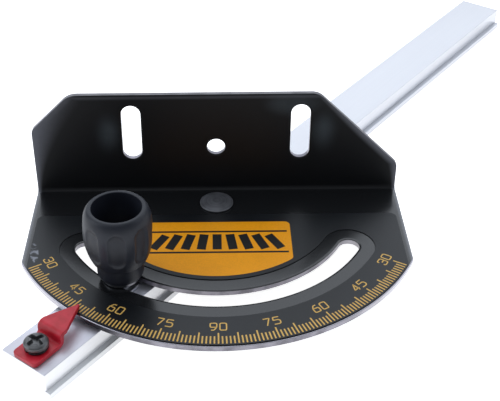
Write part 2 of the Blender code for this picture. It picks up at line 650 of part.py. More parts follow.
def build_pointer(parent):
    """The pointer: a flat foot under the screw, a riser, and an arrow over the scale.

    It is drawn from the screw's axis, along +Y towards the pivot.
    """
    half = POINTER_WIDTH / 2.0
    inner, outer = POINTER_INNER_FOLD, POINTER_OUTER_FOLD
    foot_start = SCREW_FROM_PIVOT - BAR_NEAR
    riser = POINTER_RISER
    foot_length = riser - inner - foot_start
    rise = POINTER_ARROW_TOP - POINTER_BASE_TOP
    arrow_length = SCREW_FROM_PIVOT - (HEAD_RADIUS - POINTER_OVERLAP) - riser - outer
    quarter = math.pi / 2.0
    fold = Fold((foot_start, POINTER_BASE_TOP), [
        (foot_length, 0.0), (inner * quarter, quarter), (rise - inner - outer, 0.0),
        (outer * quarter, -quarter), (arrow_length, 0.0),
    ])
    foot_end = fold.ends(0)[1]
    foot = rounded_outline([
        (-half, 0.0, POINTER_CORNER_RADIUS), (half, 0.0, POINTER_CORNER_RADIUS),
        (half, foot_end, 0.0), (-half, foot_end, 0.0),
    ])
    hole = circle((0.0, -foot_start), SCREW_SHANK_RADIUS + POINTER_HOLE_CLEARANCE, SMALL_ROUND_STEPS)
    arrow_start, arrow_end = fold.ends(4)
    shoulder = arrow_start + POINTER_SHOULDER_LENGTH
    arrow = rounded_outline([
        (-half, arrow_start, 0.0), (half, arrow_start, 0.0), (half, shoulder, POINTER_SHOULDER_RADIUS),
        (0.0, arrow_end + POINTER_TIP_ROUND, POINTER_TIP_ROUND), (-half, shoulder, POINTER_SHOULDER_RADIUS),
    ])
    panels = {0: (foot, [hole]), 4: (arrow, [])}
    piece("pointer", folded_sheet(fold, panels, half, POINTER_THICKNESS), "red_enamel", parent)


def build_pointer_screw():
    """The pan-head screw with its cross recess, and the split lock washer under its head."""
    place = (POINTER_SIDE_SHIFT, -SCREW_FROM_PIVOT, 0.0)
    foot = BAR_HEIGHT - SCREW_DEPTH_IN_BAR
    edge = SCREW_HEAD_BOTTOM + SCREW_HEAD_EDGE
    rise = SCREW_HEAD_HEIGHT - SCREW_HEAD_EDGE
    head_top = edge + rise
    profile = [(0.0, foot), (SCREW_SHANK_RADIUS, foot), (SCREW_SHANK_RADIUS, SCREW_HEAD_BOTTOM),
               (SCREW_HEAD_RADIUS, SCREW_HEAD_BOTTOM)]
    for i in range(DOME_STEPS):
        turn = i / DOME_STEPS * math.pi / 2.0
        profile.append((SCREW_HEAD_RADIUS * math.cos(turn), edge + rise * math.sin(turn)))
    profile.append((0.0, head_top))
    screw = piece("pointer_screw", turned(profile, SMALL_ROUND_STEPS), "black_oxide", place=place)
    half, arm = SCREW_CROSS_WIDTH / 2.0, SCREW_CROSS_LENGTH / 2.0
    cross = [(arm, half), (half, half), (half, arm), (-half, arm), (-half, half), (-arm, half),
             (-arm, -half), (-half, -half), (-half, -arm), (half, -arm), (half, -half), (arm, -half)]
    recess = prism(cross, head_top - SCREW_CROSS_DEPTH, head_top + CUT_OVERLAP)
    guide = piece("screw_recess", recess, "black_oxide", place=place, turn=SCREW_CROSS_TURN)
    combine(screw, guide, "DIFFERENCE")
    bore, radius = SCREW_SHANK_RADIUS + GAP, LOCK_WASHER_RADIUS
    bottom, top = LOCK_WASHER_BOTTOM, LOCK_WASHER_BOTTOM + LOCK_WASHER_THICKNESS
    ring = [(bore, bottom), (radius, bottom), (radius, top), (bore, top)]
    split = turned(ring, SMALL_ROUND_STEPS, 2.0 * math.pi - LOCK_WASHER_SLIT)
    piece("screw_lock_washer", split, "black_oxide", place=place)


def main():
    """Build every piece."""
    clear_scene()
    head_axis = carrier("head_axis", (0.0, 0.0, 0.0), HEAD_ANGLE)
    clamp_axis = carrier("clamp_axis", (0.0, -STUD_FROM_PIVOT, 0.0))
    pointer_axis = carrier("pointer_axis", (POINTER_SIDE_SHIFT, -SCREW_FROM_PIVOT, 0.0), POINTER_TURN)
    build_bar()
    build_head(head_axis)
    build_label(head_axis)
    build_pivot()
    build_stud()
    build_washer(clamp_axis)
    build_knob(clamp_axis)
    build_pointer(pointer_axis)
    build_pointer_screw()


main()
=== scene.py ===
"""The miter gauge as it looks: finished pieces, print, finishes, studio and camera.

The frame's own coordinates are used: metres, +Z up, the bar along Y, the pivot over the origin.
The head and all that is printed on it are drawn in the head's own frame, in which the fence runs
along X, and are then turned by HEAD_TURN.
"""

from __future__ import annotations

import logging
import math
from dataclasses import dataclass, field
from enum import Enum

import bmesh
import bpy
import numpy as np
from mathutils import Matrix, Vector
from mathutils.geometry import delaunay_2d_cdt

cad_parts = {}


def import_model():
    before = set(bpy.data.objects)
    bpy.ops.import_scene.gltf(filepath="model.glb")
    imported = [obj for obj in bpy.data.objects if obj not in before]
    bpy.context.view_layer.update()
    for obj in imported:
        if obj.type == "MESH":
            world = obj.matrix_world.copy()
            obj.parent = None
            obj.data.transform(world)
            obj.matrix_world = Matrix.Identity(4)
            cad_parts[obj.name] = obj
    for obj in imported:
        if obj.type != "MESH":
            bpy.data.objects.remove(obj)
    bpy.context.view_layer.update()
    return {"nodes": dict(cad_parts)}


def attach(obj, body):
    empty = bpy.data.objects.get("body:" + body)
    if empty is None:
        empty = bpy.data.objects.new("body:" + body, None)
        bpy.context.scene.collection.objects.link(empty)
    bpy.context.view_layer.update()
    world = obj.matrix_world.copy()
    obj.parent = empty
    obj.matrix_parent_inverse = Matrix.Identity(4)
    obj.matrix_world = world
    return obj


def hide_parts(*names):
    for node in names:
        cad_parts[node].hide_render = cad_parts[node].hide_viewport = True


MM = 0.001
HEAD_TURN = math.radians(38.0)
# Where the clamp's stud and the pointer's screw stand on the bar.
CLAMP_AT = (0.0, -53.0 * MM)
SCREW_AT = (0.3 * MM, -93.1 * MM)
# How many straight parts the rim, a rounded corner and a whole hole are drawn with.
RIM_STEPS = 150
CORNER_STEPS = 8
HOLE_STEPS = 60
LOG = logging.getLogger("miter_gauge")


# The shader graph, and numbers in it that can be added and multiplied.


class Signal:
    """A shader socket that carries a number, with arithmetic that adds Math nodes."""

    def __init__(self, graph: "Graph", socket: bpy.types.NodeSocket) -> None:
        """Keep the socket and the graph that it belongs to."""
        self.graph = graph
        self.socket = socket

    def _math(self, operation: str, *values: "Signal | float") -> "Signal":
        """Return the result of one Math node."""
        node = self.graph.add("ShaderNodeMath", {"operation": operation}, dict(enumerate(values)))
        return Signal(self.graph, node.outputs[0])

    def __add__(self, other: "Signal | float") -> "Signal":
        """Return the sum."""
        return self._math("ADD", self, other)

    __radd__ = __add__

    def __sub__(self, other: "Signal | float") -> "Signal":
        """Return the difference."""
        return self._math("SUBTRACT", self, other)

    def __rsub__(self, other: float) -> "Signal":
        """Return the difference from a number."""
        return self._math("SUBTRACT", other, self)

    def __mul__(self, other: "Signal | float") -> "Signal":
        """Return the product."""
        return self._math("MULTIPLY", self, other)

    __rmul__ = __mul__

    def __truediv__(self, other: "Signal | float") -> "Signal":
        """Return the quotient."""
        return self._math("DIVIDE", self, other)

    def __pow__(self, power: float) -> "Signal":
        """Return the power."""
        return self._math("POWER", self, power)

    def most(self, other: "Signal | float") -> "Signal":
        """Return the larger of two."""
        return self._math("MAXIMUM", self, other)

    def size(self) -> "Signal":
        """Return the absolute value."""
        return self._math("ABSOLUTE", self)

    def step(self, low: float, high: float) -> "Signal":
        """Pass smoothly from 0 to 1.

        Args:
            low: the value up to which the result is 0.
            high: the value from which the result is 1.

        Returns:
            The result.
        """
        node = self.graph.add(
            "ShaderNodeMapRange", {"interpolation_type": "SMOOTHSTEP", "clamp": True},
            {"Value": self, "From Min": low, "From Max": high, "To Min": 0.0, "To Max": 1.0})
        return Signal(self.graph, node.outputs["Result"])


Value = Signal | bpy.types.NodeSocket | float | tuple


class Graph:
    """A material's nodes, added and linked by one method."""

    def __init__(self, name: str) -> None:
        """Start a material whose only nodes are its shader and its output.

        Args:
            name: the material's name.
        """
        self.material = bpy.data.materials.new(name)
        self.material.use_nodes = True
        self.tree = self.material.node_tree
        self.shader = self.tree.nodes["Principled BSDF"]

    def add(self, kind: str, settings: dict | None = None,
            inputs: dict[str | int, Value] | None = None) -> bpy.types.Node:
        """Add a node, set it up, and feed its sockets.

        Args:
            kind: the node's type.
            settings: its own settings.
            inputs: a value or a link for each socket, by its name or place.

        Returns:
            The node.
        """
        node = self.tree.nodes.new(kind)
        for key, value in (settings or {}).items():
            setattr(node, key, value)
        for key, value in (inputs or {}).items():
            self.feed(node.inputs[key], value)
        return node

    def feed(self, socket: bpy.types.NodeSocket, value: Value) -> None:
        """Link a signal or a socket into a socket, or set its value.

        Args:
            socket: the socket that is fed.
            value: a signal, a socket, a number, or a tuple. A colour gets an alpha of 1.
        """
        if isinstance(value, Signal):
            self.tree.links.new(value.socket, socket)
        elif isinstance(value, bpy.types.NodeSocket):
            self.tree.links.new(value, socket)
        elif isinstance(value, tuple) and socket.type == "RGBA" and len(value) == 3:
            socket.default_value = (*value, 1.0)
        else:
            socket.default_value = value

    def surface(self, **inputs: Value) -> None:
        """Feed the shader's sockets, with Base_Color standing for Base Color."""
        for key, value in inputs.items():
            self.feed(self.shader.inputs[key.replace("_", " ")], value)

    def place(self, turn: float = 0.0, scale: tuple[float, float, float] = (1.0, 1.0, 1.0),
              centre: tuple[float, float, float] = (0.0, 0.0, 0.0)) -> bpy.types.NodeSocket:
        """Take Object coordinates about a centre, turned back about Z and then scaled.

        Args:
            turn: the angle in radians that they are turned back by.
            scale: what each of them is multiplied by.
            centre: the point that they are measured from.

        Returns:
            The coordinates' socket.
        """
        source = self.add("ShaderNodeTexCoord").outputs["Object"]
        moved = self.add("ShaderNodeMapping", {"vector_type": "POINT"},
                         {"Vector": source, "Location": tuple(-c for c in centre)})
        turned = self.add("ShaderNodeMapping", {"vector_type": "POINT"},
                          {"Vector": moved.outputs[0], "Rotation": (0.0, 0.0, -turn)})
        scaled = self.add("ShaderNodeMapping", {"vector_type": "POINT"},
                          {"Vector": turned.outputs[0], "Scale": scale})
        return scaled.outputs[0]

    def parts(self, vector: bpy.types.NodeSocket) -> tuple[Signal, Signal, Signal]:
        """Split a vector.

        Args:
            vector: the vector's socket.

        Returns:
            Its X, Y and Z.
        """
        node = self.add("ShaderNodeSeparateXYZ", inputs={"Vector": vector})
        x, y, z = (Signal(self, socket) for socket in node.outputs)
        return x, y, z

    def noise(self, vector: bpy.types.NodeSocket, scale: float, detail: float = 2.0,
              roughness: float = 0.5, distortion: float = 0.0) -> Signal:
        """Add noise between 0 and 1.

        Args:
            vector: the coordinates that it is drawn in.
            scale: how many lumps a metre has.
            detail: how many finer layers are added.
            roughness: how strong each finer layer is.
            distortion: how far the lumps are bent.

        Returns:
            The noise.
        """
        node = self.add("ShaderNodeTexNoise", {"noise_dimensions": "3D"}, {
            "Vector": vector, "Scale": scale, "Detail": detail, "Roughness": roughness,
            "Distortion": distortion})
        return Signal(self, node.outputs["Fac"])

    def mix(self, factor: Value, first: Value, second: Value) -> bpy.types.NodeSocket:
        """Mix two colours.

        Args:
            factor: 0 for the first, 1 for the second.
            first: a colour or a colour socket.
            second: another.

        Returns:
            The mixed colour's socket.
        """
        node = self.add("ShaderNodeMix", {"data_type": "RGBA", "clamp_factor": True})
        self.feed(node.inputs[0], factor)
        self.feed(node.inputs[6], first)
        self.feed(node.inputs[7], second)
        return node.outputs[2]

    def bump(self, height: Signal, distance: float, strength: float = 1.0) -> bpy.types.NodeSocket:
        """Bend the normal by a height map.

        Args:
            height: a height between 0 and 1.
            distance: the real height that 1 stands for.
            strength: how much of the bend is kept.

        Returns:
            The normal's socket.
        """
        node = self.add("ShaderNodeBump", inputs={
            "Height": height, "Distance": distance, "Strength": strength})
        return node.outputs["Normal"]


# The finishes.

Colour = tuple[float, float, float]


@dataclass(frozen=True)
class Scuff:
    """A patch of bright scratches on the head's left margin, in the head's frame."""

    at: tuple[float, float] = (-64.0 * MM, -28.8 * MM)
    length: float = 11.5 * MM
    width: float = 3.4 * MM
    lean: float = 0.16
    colour: Colour = (0.25, 0.26, 0.30)

    def mask(self, g: Graph, head: bpy.types.NodeSocket) -> Signal:
        """Draw the scratches as noise above a level, inside an ellipse that leans.

        Args:
            g: the material's graph.
            head: coordinates in the head's frame.

        Returns:
            1 on a scratch and 0 beside it.
        """
        x, y, _ = g.parts(head)
        along = (y - self.at[1]) / self.length
        across = (x - self.at[0] + self.lean * (y - self.at[1])) / self.width
        spot = 1.0 - (along * along * 4.0 + across * across * 4.0).step(0.55, 1.0)
        return spot * g.noise(head, 360.0, 3.0, 0.60, 0.9).step(0.46, 0.60)


@dataclass(frozen=True)
class BlackEnamel:
    """Black enamel on sheet steel, rubbed paler beside the two slots and along its edges.

    The painted edge highlight has a width for the side at the plate and one that is added up the
    fence, a width for the cut corner and one that is added on the left, and the three distances
    below the top edge where its pale line starts, is at its strongest and ends. The rim is bare
    from a radius outwards.
    """

    name: str = "plate_enamel"
    colour: Colour = (0.0098, 0.0104, 0.0114)
    lamp_sheen_colour: Colour = (0.066, 0.080, 0.090)
    edge_highlight_colour: Colour = (0.170, 0.173, 0.196)
    roughness: float = 0.17
    gloss: float = 0.75
    half: float = 67.8 * MM
    fence_top: float = 54.4 * MM
    cut_left: float = 107.5 * MM
    cut_right: float = 91.6 * MM
    bare_colour: Colour = (0.36, 0.345, 0.385)
    bare_from: float = 75.34 * MM
    lamp_sheen_at: tuple[float, float] = (39.5 * MM, 38.5 * MM)
    crown_sheen_at: tuple[float, float] = (28.0 * MM, 50.5 * MM)
    side_highlight: tuple[float, float] = (1.8 * MM, 9.2 * MM)
    side_rise: tuple[float, float] = (13.0 * MM, 25.0 * MM)
    cut_highlight: tuple[float, float] = (2.8 * MM, 4.0 * MM)
    fade_from: tuple[float, float] = (34.0 * MM, 56.0 * MM)
    top_line: tuple[float, float, float] = (0.3 * MM, 0.9 * MM, 2.2 * MM)
    diagonal: float = 0.7071

    def edge_highlight(self, g: Graph, head: bpy.types.NodeSocket) -> Signal:
        """Draw the painted highlight near the outline, as how pale the enamel is there.

        The side and the cut corner each have a distance d and a width w, and give the smooth fall
        1 - s(d / w). The side's width grows upwards, the cut's shrinks upwards, and both are
        larger on the left. The top edge gives a thin line. The largest of the three counts.

        Args:
            g: the material's graph.
            head: coordinates in the head's frame.

        Returns:
            0 away from the edges, and up to 1 where the painted highlight is strongest.
        """
        x, _, z = g.parts(head)
        left = (0.0 - x).step(-1.0 * MM, 1.0 * MM)
        floor, height = self.side_rise
        rise = ((z - floor).most(0.0) / height) ** 1.6
        narrow, added = self.side_highlight
        side = (self.half - x.size()) / ((added * rise + narrow) * (0.92 + 0.08 * left))
        fade = 1.0 - 0.55 * z.step(*self.fade_from)
        limit = self.cut_right + (self.cut_left - self.cut_right) * left
        narrow, added = self.cut_highlight
        cut = (limit - x.size() - z) * self.diagonal / (fade * (narrow + added * left))
        down = self.fence_top - z
        start, peak, stop = self.top_line
        line = 0.30 * down.step(start, peak) * (1.0 - down.step(peak, stop))
        return (1.0 - side.step(0.0, 1.0)).most(fade * (1.0 - cut.step(0.0, 1.0))).most(line)

    def make(self) -> bpy.types.Material:
        """Build the finish.

        Returns:
            The material.
        """
        g = Graph(self.name)
        head = g.place(HEAD_TURN)
        x, y, z = g.parts(head)
        bare = ((x * x + y * y) ** 0.5).step(self.bare_from - 0.06 * MM, self.bare_from + 0.06 * MM)
        peel = g.noise(head, 420.0, 2.0)
        smear = g.noise(head, 55.0, 3.0)
        # Painted reflections of the lamps: a pale spot beside each slot and one at the top of the
        # right slot.
        side, rise = x.size() - self.lamp_sheen_at[0], z - self.lamp_sheen_at[1]
        spot = 1.0 - ((side * side + 0.35 * rise * rise) ** 0.5).step(0.5 * MM, 8.0 * MM)
        side, rise = x - self.crown_sheen_at[0], z - self.crown_sheen_at[1]
        crown = 1.0 - ((0.3 * side * side + rise * rise) ** 0.5).step(1.0 * MM, 7.0 * MM)
        painted_sheen = (1.25 * smear) * (spot * spot).most(0.9 * crown)
        plain = g.mix(painted_sheen, self.colour, self.lamp_sheen_colour)
        # Painted highlight along the edges and under the top edge, made uneven by the smear and the
        # peel.
        pale = self.edge_highlight(g, head) * (0.70 + 0.40 * smear + 0.20 * peel)
        scuff = Scuff()
        scratched = scuff.mask(g, head)
        coat = g.mix(scratched, g.mix(pale, plain, self.edge_highlight_colour), scuff.colour)
        g.surface(
            Base_Color=g.mix(bare, coat, self.bare_colour),
            Metallic=bare,
            Roughness=self.roughness + 0.06 * smear + 0.35 * scratched,
            Specular_IOR_Level=self.gloss,
            Normal=g.bump(peel, 0.012 * MM, 0.5))
        return g.material


@dataclass(frozen=True)
class ShearedSteel:
    """The sheet's bare cut edge: grey steel with fine upright shear lines.

    Painted reflection makes it brighter towards the rim's two ends, and painted shade darkens it
    next to the bar. The painted shade comes in and goes out again along X, and ends at a Y.
    """

    name: str = "sheared_steel"
    colour: Colour = (0.33, 0.315, 0.355)
    dark: Colour = (0.165, 0.158, 0.178)
    painted_sheen: Colour = (0.64, 0.62, 0.66)
    roughness: float = 0.28
    metallic: float = 1.0
    painted_shade_colour: Colour = (0.030, 0.030, 0.032)
    ends_from: tuple[float, float] = (36.0 * MM, 64.0 * MM)
    painted_shade_in: tuple[float, float] = (-50.0 * MM, -44.0 * MM)
    painted_shade_out: tuple[float, float] = (-38.0 * MM, -24.0 * MM)
    painted_shade_below: tuple[float, float] = (-55.0 * MM, -50.0 * MM)

    def make(self) -> bpy.types.Material:
        """Build the finish.

        Returns:
            The material.
        """
        g = Graph(self.name)
        lines = g.noise(g.place(HEAD_TURN, (1.0, 1.0, 0.08)), 2600.0, 2.0)
        patches = g.noise(g.place(HEAD_TURN), 160.0, 3.0).step(0.35, 0.70)
        x, y, _ = g.parts(g.place(HEAD_TURN))
        # Painted reflection towards the rim's two ends, and painted shade on the rim next to the
        # bar.
        ends = x.size().step(*self.ends_from)
        painted_shade = x.step(*self.painted_shade_in) * (1.0 - x.step(*self.painted_shade_out))
        painted_shade = painted_shade * (1.0 - y.step(*self.painted_shade_below))
        steel = g.mix(ends, g.mix(patches, self.colour, self.dark), self.painted_sheen)
        g.surface(
            Base_Color=g.mix(0.85 * painted_shade, steel, self.painted_shade_colour),
            Metallic=self.metallic,
            Roughness=self.roughness + 0.12 * lines,
            Normal=g.bump(lines, 0.02 * MM, 0.6))
        return g.material


@dataclass(frozen=True)
class LabelFilm:
    """Matt charcoal film with a fine grain."""

    name: str = "label_film"
    colour: Colour = (0.0040, 0.0050, 0.0066)
    worn: Colour = (0.0068, 0.0084, 0.0108)
    roughness: float = 0.32

    def make(self) -> bpy.types.Material:
        """Build the finish.

        Returns:
            The material.
        """
        g = Graph(self.name)
        head = g.place(HEAD_TURN)
        grain = g.noise(head, 2600.0, 2.0)
        cloud = g.noise(head, 48.0, 4.0)
        scuff = Scuff()
        scratched = scuff.mask(g, head)
        plain = g.mix(cloud.step(0.35, 0.75), self.colour, self.worn)
        g.surface(
            Base_Color=g.mix(scratched, plain, scuff.colour),
            Roughness=self.roughness + 0.08 * cloud + 0.05 * grain + 0.1 * scratched,
            Specular_IOR_Level=0.42,
            Normal=g.bump(grain, 0.008 * MM, 0.6))
        return g.material


class Ink(Enum):
    """The label's printing inks, as colour and roughness."""

    GOLD = ((0.800, 0.490, 0.125), 0.45)
    YELLOW = ((1.000, 0.385, 0.001), 0.45)
    BLACK = ((0.0065, 0.0065, 0.0070), 0.42)

    def make(self) -> bpy.types.Material:
        """Build the ink, slightly uneven where the film's grain shows through.

        Returns:
            The material.
        """
        colour, roughness = self.value
        g = Graph("ink_" + self.name.lower())
        head = g.place(HEAD_TURN)
        grain = g.noise(head, 2200.0, 2.0)
        cloud = g.noise(head, 70.0, 3.0)
        thin = tuple(0.86 * c for c in colour)
        g.surface(
            Base_Color=g.mix((0.5 * grain + 0.5 * cloud).step(0.30, 0.70), thin, colour),
            Roughness=roughness + 0.08 * grain,
            Specular_IOR_Level=0.3,
            Normal=g.bump(grain, 0.006 * MM, 0.5))
        return g.material


@dataclass(frozen=True)
class DrawnAluminium:
    """Bright drawn aluminium with faint draw lines along Y, and light and shade painted into its
    colour.

    The relief grooves are duller than the walls, all but at the near end, and the channel's inside
    is smoother and more metallic. Each of these zones fades in or out between two places.
    """

    name: str = "drawn_aluminium"
    lit_wall: Colour = (0.97, 0.975, 0.985)
    far_wall_shade: Colour = (0.78, 0.79, 0.83)
    top: Colour = (0.765, 0.768, 0.800)
    near_top: Colour = (0.765, 0.765, 0.84)
    end_top_shade: Colour = (0.62, 0.61, 0.66)
    mark: Colour = (0.50, 0.50, 0.56)
    roughness: float = 0.30
    top_height: float = 9.5 * MM
    near_end: float = -99.1 * MM
    far_from: tuple[float, float] = (-60.0 * MM, 30.0 * MM)
    end_to: tuple[float, float] = (-93.0 * MM, -78.0 * MM)
    groove_below: tuple[float, float] = (3.0 * MM, 3.6 * MM)
    groove_within: tuple[float, float] = (10.3 * MM, 10.9 * MM)
    groove_from: tuple[float, float] = (0.2 * MM, 0.6 * MM)
    channel_within: tuple[float, float] = (5.5 * MM, 6.0 * MM)
    channel_below: tuple[float, float] = (3.2 * MM, 3.5 * MM)

    def make(self) -> bpy.types.Material:
        """Build the finish.

        Returns:
            The material.
        """
        g = Graph(self.name)
        x, y, z = g.parts(g.place())
        lines = g.noise(g.place(scale=(1.0, 0.012, 1.0)), 1500.0, 3.0, 0.6)
        cloud = g.noise(g.place(scale=(1.0, 0.35, 1.0)), 60.0, 3.0)
        marks = g.noise(g.place(turn=0.5, scale=(1.0, 0.05, 1.0)), 700.0, 4.0, 0.7).step(0.66, 0.74)
        far = (y + 12.0 * MM * cloud).step(*self.far_from)
        end = 1.0 - (y + 6.0 * MM * cloud).step(*self.end_to)
        above = z.step(self.top_height - 0.20 * MM, self.top_height - 0.02 * MM)
        foot = (1.0 - z.step(*self.groove_below)) * (1.0 - x.size().step(*self.groove_within))
        groove = foot * (y - self.near_end).step(*self.groove_from)
        inside = (1.0 - x.size().step(*self.channel_within)) * (1.0 - z.step(*self.channel_below))
        groove = groove * (1.0 - inside)
        # Painted light and shade: walls lit brighter than the top and darker towards the far end,
        # the top bluer near the head and darker at its near end.
        lit_wall = g.mix(far, self.lit_wall, self.far_wall_shade)
        top = g.mix(end, g.mix(far, self.near_top, self.top), self.end_top_shade)
        worn = 0.10 * lines + 0.12 * cloud + 0.10 * marks
        g.surface(
            Base_Color=g.mix(worn, g.mix(above, lit_wall, top), self.mark),
            Metallic=0.78 - 0.14 * above - 0.58 * groove + 0.22 * inside,
            Roughness=(self.roughness + 0.10 * above + 0.20 * groove - 0.16 * inside
                       + 0.10 * lines + 0.10 * marks),
            Normal=g.bump(lines, 0.003 * MM, 0.4))
        return g.material


@dataclass(frozen=True)
class KnobPlastic:
    """Slate grey moulded plastic with a soft satin grain, and a painted highlight on its ridges."""

    name: str = "knob_plastic"
    colour: Colour = (0.0112, 0.0135, 0.0215)
    painted_sheen: Colour = (0.0225, 0.0275, 0.0400)
    roughness: float = 0.40
    centre: tuple[float, float, float] = (*CLAMP_AT, 0.0)
    ridge_from: tuple[float, float] = (10.6 * MM, 11.8 * MM)

    def make(self) -> bpy.types.Material:
        """Build the finish.

        Returns:
            The material.
        """
        g = Graph(self.name)
        spot = g.place(centre=self.centre)
        grain = g.noise(spot, 1900.0, 2.0)
        cloud = g.noise(spot, 120.0, 4.0)
        x, y, _ = g.parts(spot)
        out = (x * x + y * y) ** 0.5
        # Painted highlight: the widest parts, the ridges between the flutes, are paler, mixed with
        # a random mottle.
        ridge = out.step(*self.ridge_from)
        worn = 0.55 * ridge + 0.45 * cloud.step(0.45, 0.80)
        g.surface(
            Base_Color=g.mix(worn, self.colour, self.painted_sheen),
            Roughness=self.roughness + 0.10 * cloud - 0.06 * ridge,
            Specular_IOR_Level=0.38,
            Normal=g.bump(0.6 * grain + 0.4 * cloud, 0.03 * MM, 0.5))
        return g.material


@dataclass(frozen=True)
class RedPaint:
    """Satin red paint, slightly darker where it is thin."""

    name: str = "red_paint"
    colour: Colour = (0.630, 0.0190, 0.0410)
    thin: Colour = (0.500, 0.0080, 0.0200)
    roughness: float = 0.36

    def make(self) -> bpy.types.Material:
        """Build the finish.

        Returns:
            The material.
        """
        g = Graph(self.name)
        spot = g.place()
        cloud = g.noise(spot, 260.0, 3.0)
        peel = g.noise(spot, 1400.0, 1.0)
        g.surface(
            Base_Color=g.mix(cloud.step(0.30, 0.70), self.thin, self.colour),
            Roughness=self.roughness + 0.10 * cloud,
            Specular_IOR_Level=0.46,
            Normal=g.bump(peel, 0.010 * MM, 0.6))
        return g.material


@dataclass(frozen=True)
class TurnedMetal:
    """Turned or plated metal with fine rings about an upright axis."""

    name: str
    colour: Colour
    dark: Colour
    roughness: float
    metallic: float = 1.0
    centre: tuple[float, float, float] = (0.0, 0.0, 0.0)

    def make(self) -> bpy.types.Material:
        """Build the finish.

        Returns:
            The material.
        """
        g = Graph(self.name)
        spot = g.place(centre=self.centre)
        x, y, z = g.parts(spot)
        out = (x * x + y * y) ** 0.5
        ring = g.add("ShaderNodeCombineXYZ", inputs={"X": out, "Y": z, "Z": 0.0}).outputs[0]
        rings = g.noise(ring, 3800.0, 2.0)
        cloud = g.noise(spot, 300.0, 4.0)
        g.surface(
            Base_Color=g.mix((0.5 * cloud + 0.5 * rings).step(0.32, 0.70), self.dark, self.colour),
            Metallic=self.metallic,
            Roughness=self.roughness + 0.10 * cloud + 0.06 * rings,
            Normal=g.bump(rings, 0.008 * MM, 0.5))
        return g.material


# Surfaces and sheets.


def towards(points: np.ndarray, others: np.ndarray, distance: float) -> np.ndarray:
    """Move each point towards another.

    Args:
        points: the points, one row each.
        others: the point that each of them moves towards.
        distance: how far it moves, but at most 0.45 of the way.

    Returns:
        The moved points.
    """
    way = others - points
    length = np.maximum(np.linalg.norm(way, axis=1, keepdims=True), 1e-12)
    return points + way * np.minimum(distance / length, 0.45)


def eased(profile: np.ndarray, radius: float, steps: int = 4, closed: bool = False) -> np.ndarray:
    """Round a profile's corners.

    Each corner gives way to a quadratic curve (1-t)^2 A + 2t(1-t) P + t^2 C, where P is the corner
    and A and C lie a radius, or at most 0.45 of the side, away from it along its two sides.

    Args:
        profile: points, one row each.
        radius: how far from the corner the curve starts.
        steps: how many parts each curve has.
        closed: whether the last point joins the first. The ends of an open profile stay.

    Returns:
        The denser profile.
    """
    points = np.asarray(profile, float)
    start = towards(points, np.roll(points, 1, axis=0), radius)[:, None]
    end = towards(points, np.roll(points, -1, axis=0), radius)[:, None]
    middle = points[:, None]
    t = np.linspace(0.0, 1.0, steps + 1)[None, :, None]
    curve = (1 - t) ** 2 * start + 2 * t * (1 - t) * middle + t ** 2 * end
    if closed:
        return curve.reshape(-1, points.shape[1])
    return np.vstack([points[:1], curve[1:-1].reshape(-1, points.shape[1]), points[-1:]])


def rounded(corners: np.ndarray, radii: np.ndarray | float, steps: int = 8) -> np.ndarray:
    """Round the inner corners of an open path with true arcs.

    With unit directions a and c from a corner P to its neighbours, and h half the angle between
    them, the arc's centre is P + (a + c) / |a + c| * r / sin h. The arc runs between the centre's
    feet on the two sides, which lie r / tan h from P.

    Args:
        corners: the path, whose two ends stay.
        radii: the radius at each inner corner.
        steps: how many parts each arc has.

    Returns:
        The path with its arcs.
    """
    points = np.asarray(corners, float)
    middle = points[1:-1]
    back, ahead = points[:-2] - middle, points[2:] - middle
    back /= np.linalg.norm(back, axis=1, keepdims=True)
    ahead /= np.linalg.norm(ahead, axis=1, keepdims=True)
    half = np.arccos(np.clip(np.sum(back * ahead, axis=1), -1.0, 1.0))[:, None] / 2.0
    radius = np.broadcast_to(np.asarray(radii, float), (len(middle),))[:, None]
    bisector = (back + ahead) / np.linalg.norm(back + ahead, axis=1, keepdims=True)
    centre = middle + bisector * radius / np.sin(half)
    first = middle + back * radius / np.tan(half) - centre
    last = middle + ahead * radius / np.tan(half) - centre
    start = np.arctan2(first[:, 1], first[:, 0])[:, None]
    stop = np.arctan2(last[:, 1], last[:, 0])[:, None]
    sweep = (stop - start + math.pi) % (2.0 * math.pi) - math.pi
    angle = start + sweep * np.linspace(0.0, 1.0, steps + 1)[None, :]
    arcs = centre[:, None, :] + radius[:, None] * np.stack([np.cos(angle), np.sin(angle)], axis=-1)
    return np.vstack([points[:1], arcs.reshape(-1, 2), points[-1:]])


def filled(loops: list[np.ndarray], creases: list[tuple[int, int]]) -> list[tuple[int, ...]]:
    """Fill a flat outline less its holes with triangles.

    All loops and creases are triangulated together, and a triangle stays if a ray along +X from
    its centre crosses an odd number of the loops' sides.

    Args:
        loops: the outline, then the holes.
        creases: pairs of points that an edge has to join.

    Returns:
        The triangles, as indexes of the loops' points.
    """
    edges, count = [], 0
    for loop in loops:
        edges += [(count + i, count + (i + 1) % len(loop)) for i in range(len(loop))]
        count += len(loop)
    points = np.vstack(loops)
    flat = [Vector(point) for point in points.tolist()]
    _, _, faces, source, _, _ = delaunay_2d_cdt(flat, edges + creases, [], 0, 1e-9)
    triangles = np.array([[source[corner][0] for corner in face] for face in faces])
    x, y = points[triangles].mean(axis=1)[:, None, :].transpose(2, 0, 1)
    a, b = points[[edge[0] for edge in edges]], points[[edge[1] for edge in edges]]
    rise = np.where(b[:, 1] == a[:, 1], 1.0, b[:, 1] - a[:, 1])
    at_y = a[:, 0] + (b[:, 0] - a[:, 0]) * (y - a[:, 1]) / rise
    crossed = ((a[:, 1] > y) != (b[:, 1] > y)) & (x < at_y)
    return [tuple(face) for face in triangles[crossed.sum(axis=1) % 2 == 1].tolist()]


def full_turn(columns: int) -> np.ndarray:
    """Return evenly spaced angles of a whole turn, the last one short of the first."""
    return np.linspace(0.0, 2.0 * math.pi, columns, endpoint=False)


